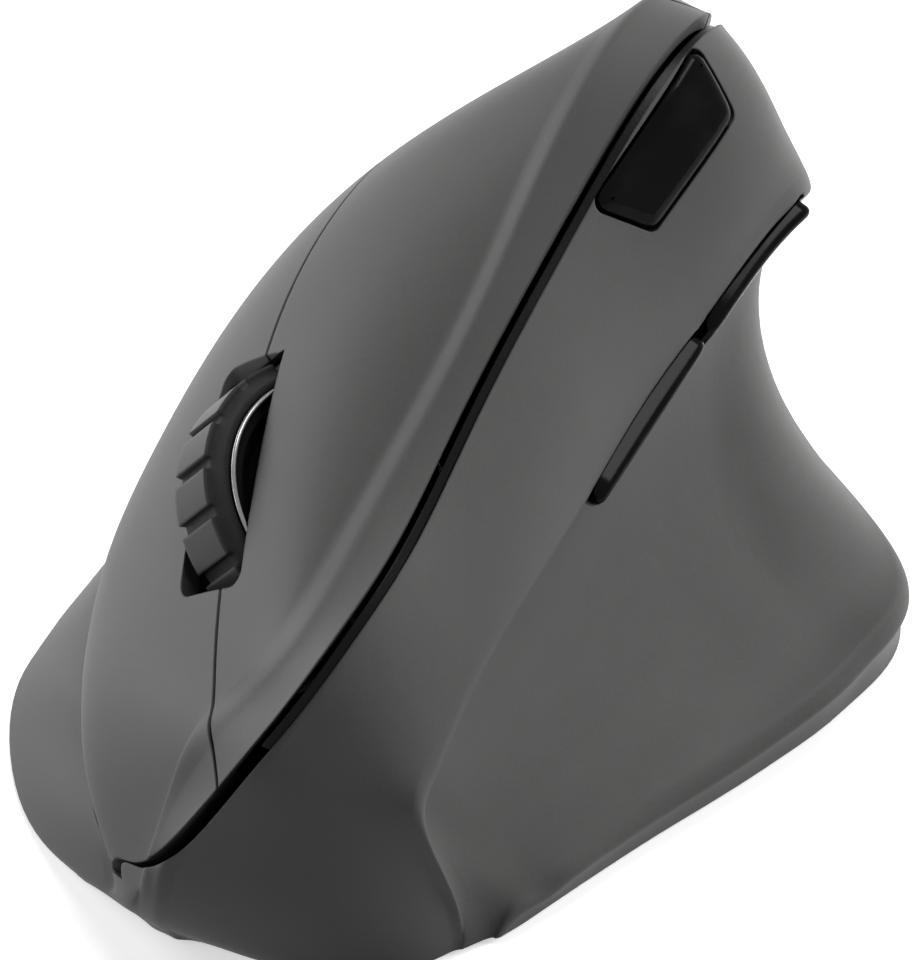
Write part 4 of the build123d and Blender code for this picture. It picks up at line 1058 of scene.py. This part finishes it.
    def add_stem(
        self,
        cap: bmesh.types.BMesh,
        solid: bmesh.types.BMesh,
        tree: BVHTree,
        outline: list[Vector],
    ) -> None:
        """Adds the stem that reaches the switch, where the solid has its own.

        Args:
            cap: The mesh of the key.
            solid: The turned solid.
            tree: The same solid, to look up heights in.
            outline: Points of the rim.
        """
        place, radius = self.stem_end(solid)
        low = place.z + self.stem_gap * MILLIMETRE
        high = self.height(tree, place, outline) - self.stem_depth * MILLIMETRE
        bmesh.ops.create_cone(
            cap, cap_ends=True, segments=self.stem_sides, radius1=radius, radius2=radius,
            depth=high - low, matrix=Matrix.Translation((place.x, place.y, (high + low) / 2)),
        )


def add_piece(name: str, mesh: bmesh.types.BMesh, finish: bpy.types.Material) -> bpy.types.Object:
    """Makes an object of a finished mesh.

    Args:
        name: Name of the piece.
        mesh: Its mesh, which is used up.
        finish: Its material.

    Returns:
        The object, at the origin.
    """
    for face in mesh.faces:
        face.smooth = True
    for edge in mesh.edges:
        edge.smooth = edge.calc_face_angle(math.pi) < SHARP_ANGLE
    data = bpy.data.meshes.new(name)
    mesh.to_mesh(data)
    mesh.free()
    data.materials.append(finish)
    piece = bpy.data.objects.new(name, data)
    bpy.context.scene.collection.objects.link(piece)
    LOG.info("%s: %d faces", name, len(data.polygons))
    return piece


@dataclass
class Skin:
    """Outer pieces that the hand touches."""

    plate: Colour = (0.068, 0.068, 0.067)
    side: Colour = (0.068, 0.068, 0.067)
    keys: Sequence[KeyCap] = (
        KeyCap("dpi_button", skirt=1.9),
        KeyCap("forward_button", edge=1.2, drop=0.9, lift=0.9, rounding_passes=12),
        KeyCap("back_button", edge=1.2, drop=0.9, lift=1.0, rounding_passes=12),
    )

    def dress(self, frame: dict) -> None:
        """Dresses the plates, the palm cover, the side, the groove strip and the keys.
        """
        dress(frame, SoftTouch("plate_soft_touch", self.plate), "left_button", "right_button")
        dress(frame, SoftTouch("palm_soft_touch", self.plate), "palm_cover")
        dress(frame, SoftTouch("side_soft_touch", self.side), "side_housing")
        strip = Moulded(
            "groove_black", (0.002, 0.002, 0.002), roughness=0.3, edge=0.2, gloss=0.1,
            dust_tone=0.004,
        )
        dress(frame, strip, "groove_trim")
        polish = GlossBlack("key_gloss_black", (0.0015, 0.0015, 0.0016)).build()
        for key in self.keys:
            key.build(frame, polish)


@dataclass
class Wheel:
    """The scroll wheel and what carries it.

    The tilt of the axle is in degrees, and lengths are in millimetres.
    """

    centre: Vector = field(default_factory=lambda: millimetres(4.0, 21.5, 31.25))
    tilt: float = 38.7
    crest: float = 15.2
    bead: float = 0.32
    bead_sides: int = 12
    bead_steps: int = 96

    @property
    def axis(self) -> Vector:
        """Direction of the axle."""
        turn = math.radians(self.tilt)
        return Vector((-math.sin(turn), 0.0, math.cos(turn)))

    def dress(self, frame: dict) -> None:
        """Dresses the tyre, the hub, the rings, the axle, the carrier and the encoder.
        """
        rubber = Rubber("tyre_rubber", (0.021, 0.021, 0.021), self.centre, self.axis, self.crest)
        dress(frame, rubber, "wheel_tyre")
        hub = TurnedPlastic("hub_plastic", (0.003, 0.003, 0.0031), self.centre, self.axis)
        dress(frame, hub, "wheel_hub")
        dark = (0.08, 0.08, 0.08)
        plating = Metal("ring_plate", (0.2, 0.2, 0.203), roughness=0.2, tarnish=dark)
        self.add_beads(frame, plating.build())
        dress(frame, Metal("axle_steel", (0.6, 0.6, 0.6), roughness=0.25), "wheel_axle")
        dress(frame, Moulded("carrier_black", (0.012, 0.012, 0.013)), "wheel_carrier", "inner_frame")
        dress(frame, Moulded("encoder_green", (0.01, 0.09, 0.06)), "wheel_encoder")

    def add_beads(self, frame: dict, finish: bpy.types.Material) -> None:
        """Builds the thin plated bead on each side of the hub.

        Args:
            finish: Material of the beads.
        """
        turn = self.axis.to_track_quat("Z", "Y").to_matrix().to_4x4()
        seat = Matrix.Translation(self.centre) @ turn
        places = [seat.inverted() @ vert.co for vert in frame["nodes"]["wheel_rings"].data.vertices]
        rim = max(place.xy.length for place in places)
        beads = bmesh.new()
        for level in (min(place.z for place in places), max(place.z for place in places)):
            centre = Matrix.Translation((rim - self.bead * MILLIMETRE, 0, level))
            upright = Matrix.Rotation(math.radians(90), 4, "X")
            ring = bmesh.ops.create_circle(
                beads, segments=self.bead_sides, radius=self.bead * MILLIMETRE, matrix=centre @ upright
            )
            edges = list({edge for vert in ring["verts"] for edge in vert.link_edges})
            bmesh.ops.spin(
                beads, geom=ring["verts"] + edges, cent=(0, 0, 0), axis=(0, 0, 1), dvec=(0, 0, 0),
                angle=math.tau, steps=self.bead_steps, use_merge=True,
            )
        bmesh.ops.remove_doubles(beads, verts=beads.verts, dist=SAME_LINE)
        bmesh.ops.recalc_face_normals(beads, faces=beads.faces)
        bmesh.ops.transform(beads, matrix=seat, verts=beads.verts)
        piece = add_piece("wheel_ring_beads", beads, finish)
        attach(piece, "wheel")
        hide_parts("wheel_rings")


@dataclass
class Electronics:
    """Boards, switches and the sensor.

    A chip is its place across and back from the board's front corner, and its three sizes,
    all in millimetres.
    """

    chip_edge: float = 0.1
    chip_edge_steps: int = 2
    chips: Sequence[Sequence[float]] = (
        (3.0, 11.0, 4.0, 4.0, 0.9),
        (3.0, 5.6, 2.5, 2.0, 0.6),
        (1.4, 8.0, 1.0, 0.5, 0.5),
        (3.4, 8.0, 1.0, 0.5, 0.5),
        (1.4, 14.2, 0.5, 1.0, 0.5),
        (3.0, 14.2, 0.5, 1.0, 0.5),
        (4.6, 14.2, 0.5, 1.0, 0.5),
    )

    def dress(self, frame: dict) -> None:
        """Dresses the boards and what stands on them.
        """
        laminate = CircuitBoard("board_green")
        dress(frame, laminate, "button_board", "thumb_board", "dpi_board", "main_board")
        switch = Moulded("switch_black", (0.012, 0.012, 0.012), roughness=0.45)
        dress(frame, switch, "left_switch", "right_switch")
        tact = Moulded("tact_black", (0.02, 0.02, 0.021), roughness=0.5)
        small = ("middle_switch", "forward_switch", "back_switch", "dpi_switch", "power_switch")
        dress(frame, tact, *small)
        sensor = Moulded("sensor_black", (0.008, 0.008, 0.008), roughness=0.35)
        dress(frame, sensor, "optical_sensor")
        self.add_chips(Moulded("chip_black", (0.01, 0.01, 0.011), roughness=0.4).build())
        dress(frame, ClearLens("lens_clear"), "sensor_lens")

    def add_chips(self, finish: bpy.types.Material) -> None:
        """Builds the small surface parts on top of the main board.

        Args:
            finish: Material of their bodies.
        """
        _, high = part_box("main_board")
        corner = Vector(high)
        chips = bmesh.new()
        for across, back, length, width, height in self.chips:
            size = Matrix.Diagonal((length, width, height, 1.0))
            place = corner / MILLIMETRE + Vector((-across, -back, height / 2))
            bmesh.ops.create_cube(chips, size=1.0, matrix=Matrix.Translation(place) @ size)
        bmesh.ops.bevel(
            chips, geom=chips.edges[:], offset=self.chip_edge, affect="EDGES",
            segments=self.chip_edge_steps, profile=0.5, material=-1,
        )
        bmesh.ops.scale(chips, verts=chips.verts, vec=(MILLIMETRE, MILLIMETRE, MILLIMETRE))
        piece = add_piece("main_board_chips", chips, finish)
        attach(piece, "housing")


@dataclass
class Underside:
    """Bottom cover, battery, receiver, feet and screws, with the cell's length in millimetres."""

    battery_rear: Vector = field(default_factory=lambda: millimetres(13.05, -29.5, 11.0))
    battery_axis: Vector = field(default_factory=lambda: Vector((0, 1, 0)))
    battery_length: float = 49.2

    def dress(self, frame: dict) -> None:
        """Dresses all pieces at the bottom.
        """
        cover = Moulded("cover_black", (0.012, 0.012, 0.0125), roughness=0.6)
        dress(frame, cover, "bottom_cover", "battery_door")
        sleeve = CellSleeve(
            "cell_sleeve", self.battery_rear, self.battery_axis, self.battery_length
        )
        dress(frame, sleeve, "battery")
        nickel = Metal("contact_nickel", (0.7, 0.68, 0.62), roughness=0.22)
        dress(frame, nickel, "battery_contact", "battery_spring")
        steel = Metal("plug_steel", (0.62, 0.62, 0.63), roughness=0.25, working=Working.DRAWN)
        dress(frame, steel, "receiver_plug")
        shell = Moulded("receiver_black", (0.012, 0.012, 0.013), roughness=0.4)
        dress(frame, shell, "receiver_cap")
        slider = Moulded("slider_grey", (0.25, 0.25, 0.26), roughness=0.45)
        dress(frame, slider, "power_slider")
        feet = Moulded(
            "feet_grey", (0.02, 0.02, 0.021), roughness=0.25, grain_size=0.4, grain_depth=0.004
        )
        dress(frame, feet, "glide_feet")
        dress(frame, Metal("screw_zinc", (0.42, 0.42, 0.43), roughness=0.3), "cover_screws")


@dataclass(frozen=True)
class SoftBox:
    """One square soft box that points at the mouse, in metres and watts."""

    name: str
    place: Sequence[float]
    power: float
    size: float = 0.5
    in_gloss: bool = True
    toward: Sequence[float] = (0.0, 0.0, 0.03)

    def build(self) -> None:
        """Adds the lamp."""
        data = bpy.data.lights.new(self.name, "AREA")
        data.size = self.size
        data.energy = self.power
        lamp = bpy.data.objects.new(self.name, data)
        bpy.context.scene.collection.objects.link(lamp)
        lamp.visible_glossy = self.in_gloss
        direction = Vector(self.toward) - Vector(self.place)
        turn = direction.to_track_quat("-Z", "Y").to_matrix().to_4x4()
        lamp.matrix_world = Matrix.Translation(Vector(self.place)) @ turn


@dataclass
class Studio:
    """Camera, lamps, floor and backdrop, with the sensor in millimetres and the rest in metres."""

    target: Vector = field(default_factory=lambda: millimetres(-0.95, 5.5, 26.6))
    toward_camera: Vector = field(default_factory=lambda: Vector((-0.4393, 0.6273, 0.6430)))
    distance: float = 0.4745
    focal_share: float = 4650.0 / 960.0
    sensor: float = 36.0
    nearest: float = 0.01
    fill: float = 0.02
    floor_size: float = 3.0
    floor_white: Colour = (0.92, 0.92, 0.92)
    floor_shade: Colour = (0.25, 0.25, 0.25)
    floor_roughness: float = 0.8
    floor_specular: float = 0.1
    floor_glow: float = 0.55
    soft_boxes: Sequence[SoftBox] = (
        SoftBox("finger_side", (0.95, 0.1, 0.4), 5.6),
        SoftBox("finger_front", (0.8, 0.6, 0.3), 3.6),
        SoftBox("above", (0.05, -0.35, 0.95), 3.8, size=0.35),
        SoftBox("behind", (0.1, -0.95, 0.35), 5.5, in_gloss=False),
        SoftBox("behind_thumb", (-0.6, -0.6, 0.5), 5.5, in_gloss=False),
        SoftBox("low_thumb", (-0.62, -0.78, 0.15), 7.5, in_gloss=False),
        SoftBox("front", (0.0, 0.95, 0.3), 0.15, in_gloss=False),
    )

    def build(self) -> None:
        """Builds the whole studio."""
        self.camera()
        self.world()
        self.floor()
        self.lamps()

    def camera(self) -> None:
        """Camera at the angle of the photograph."""
        data = bpy.data.cameras.new("camera")
        data.sensor_fit = "VERTICAL"
        data.sensor_height = self.sensor
        data.lens = self.sensor * self.focal_share
        data.clip_start = self.nearest
        camera = bpy.data.objects.new("camera", data)
        bpy.context.scene.collection.objects.link(camera)
        back = self.toward_camera.normalized()
        right = Vector((0, 0, 1)).cross(back).normalized()
        up = back.cross(right)
        turn = Matrix((right, up, back)).transposed()
        camera.matrix_world = Matrix.Translation(self.target + back * self.distance) @ turn.to_4x4()
        bpy.context.scene.camera = camera

    def world(self) -> None:
        """Pale surroundings that look white and light the object softly."""
        world = bpy.data.worlds.new("studio")
        bpy.context.scene.world = world
        world.use_nodes = True
        graph = Graph(world.node_tree)
        strength = graph.seen_directly() * (1.0 - self.fill) + self.fill
        white = graph.node(
            "ShaderNodeBackground", {}, {"Color": (1.0, 1.0, 1.0), "Strength": strength}
        )
        graph.node("ShaderNodeOutputWorld", {}, {"Surface": white.outputs[0]})

    def floor(self) -> None:
        """Plain pale floor, which throws little light back and is clear from below."""
        mesh = bmesh.new()
        bmesh.ops.create_grid(mesh, x_segments=1, y_segments=1, size=self.floor_size)
        data = bpy.data.meshes.new("floor")
        mesh.to_mesh(data)
        mesh.free()
        floor = bpy.data.objects.new("floor", data)
        bpy.context.scene.collection.objects.link(floor)
        graph = SurfaceGraph("floor_white")
        graph.surface(Base_Color=self.floor_white, Roughness=self.floor_roughness)
        graph.surface(Specular_IOR_Level=self.floor_specular)
        white = {"Color": (1.0, 1.0, 1.0), "Strength": self.floor_glow}
        glow = graph.node("ShaderNodeEmission", {}, white)
        lit = graph.node("ShaderNodeAddShader", {}, {0: graph.shader.outputs[0], 1: glow.outputs[0]})
        dim = graph.node("ShaderNodeBsdfDiffuse", {}, {"Color": self.floor_shade})
        solid = graph.mix_shaders(graph.seen_directly(), dim, lit)
        side = graph.node("ShaderNodeNewGeometry", {}, {})
        path = graph.node("ShaderNodeLightPath", {}, {})
        below = graph.math("MULTIPLY", side.outputs["Backfacing"], path.outputs[Ray.CAMERA.value])
        clear = graph.node("ShaderNodeBsdfTransparent", {}, {})
        seen = graph.mix_shaders(below, solid, clear)
        graph.feed(graph.output.inputs["Surface"], seen.outputs[0])
        data.materials.append(graph.material)

    def lamps(self) -> None:
        """Soft boxes around the mouse."""
        for lamp in self.soft_boxes:
            lamp.build()


def main() -> None:
    """Builds the whole scene."""
    logging.basicConfig(level=logging.INFO)
    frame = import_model()
    for part in (Skin(), Wheel(), Electronics(), Underside()):
        part.dress(frame)
    Studio().build()
    bpy.context.scene.view_settings.view_transform = "Standard"


if __name__ == "__main__":
    main()
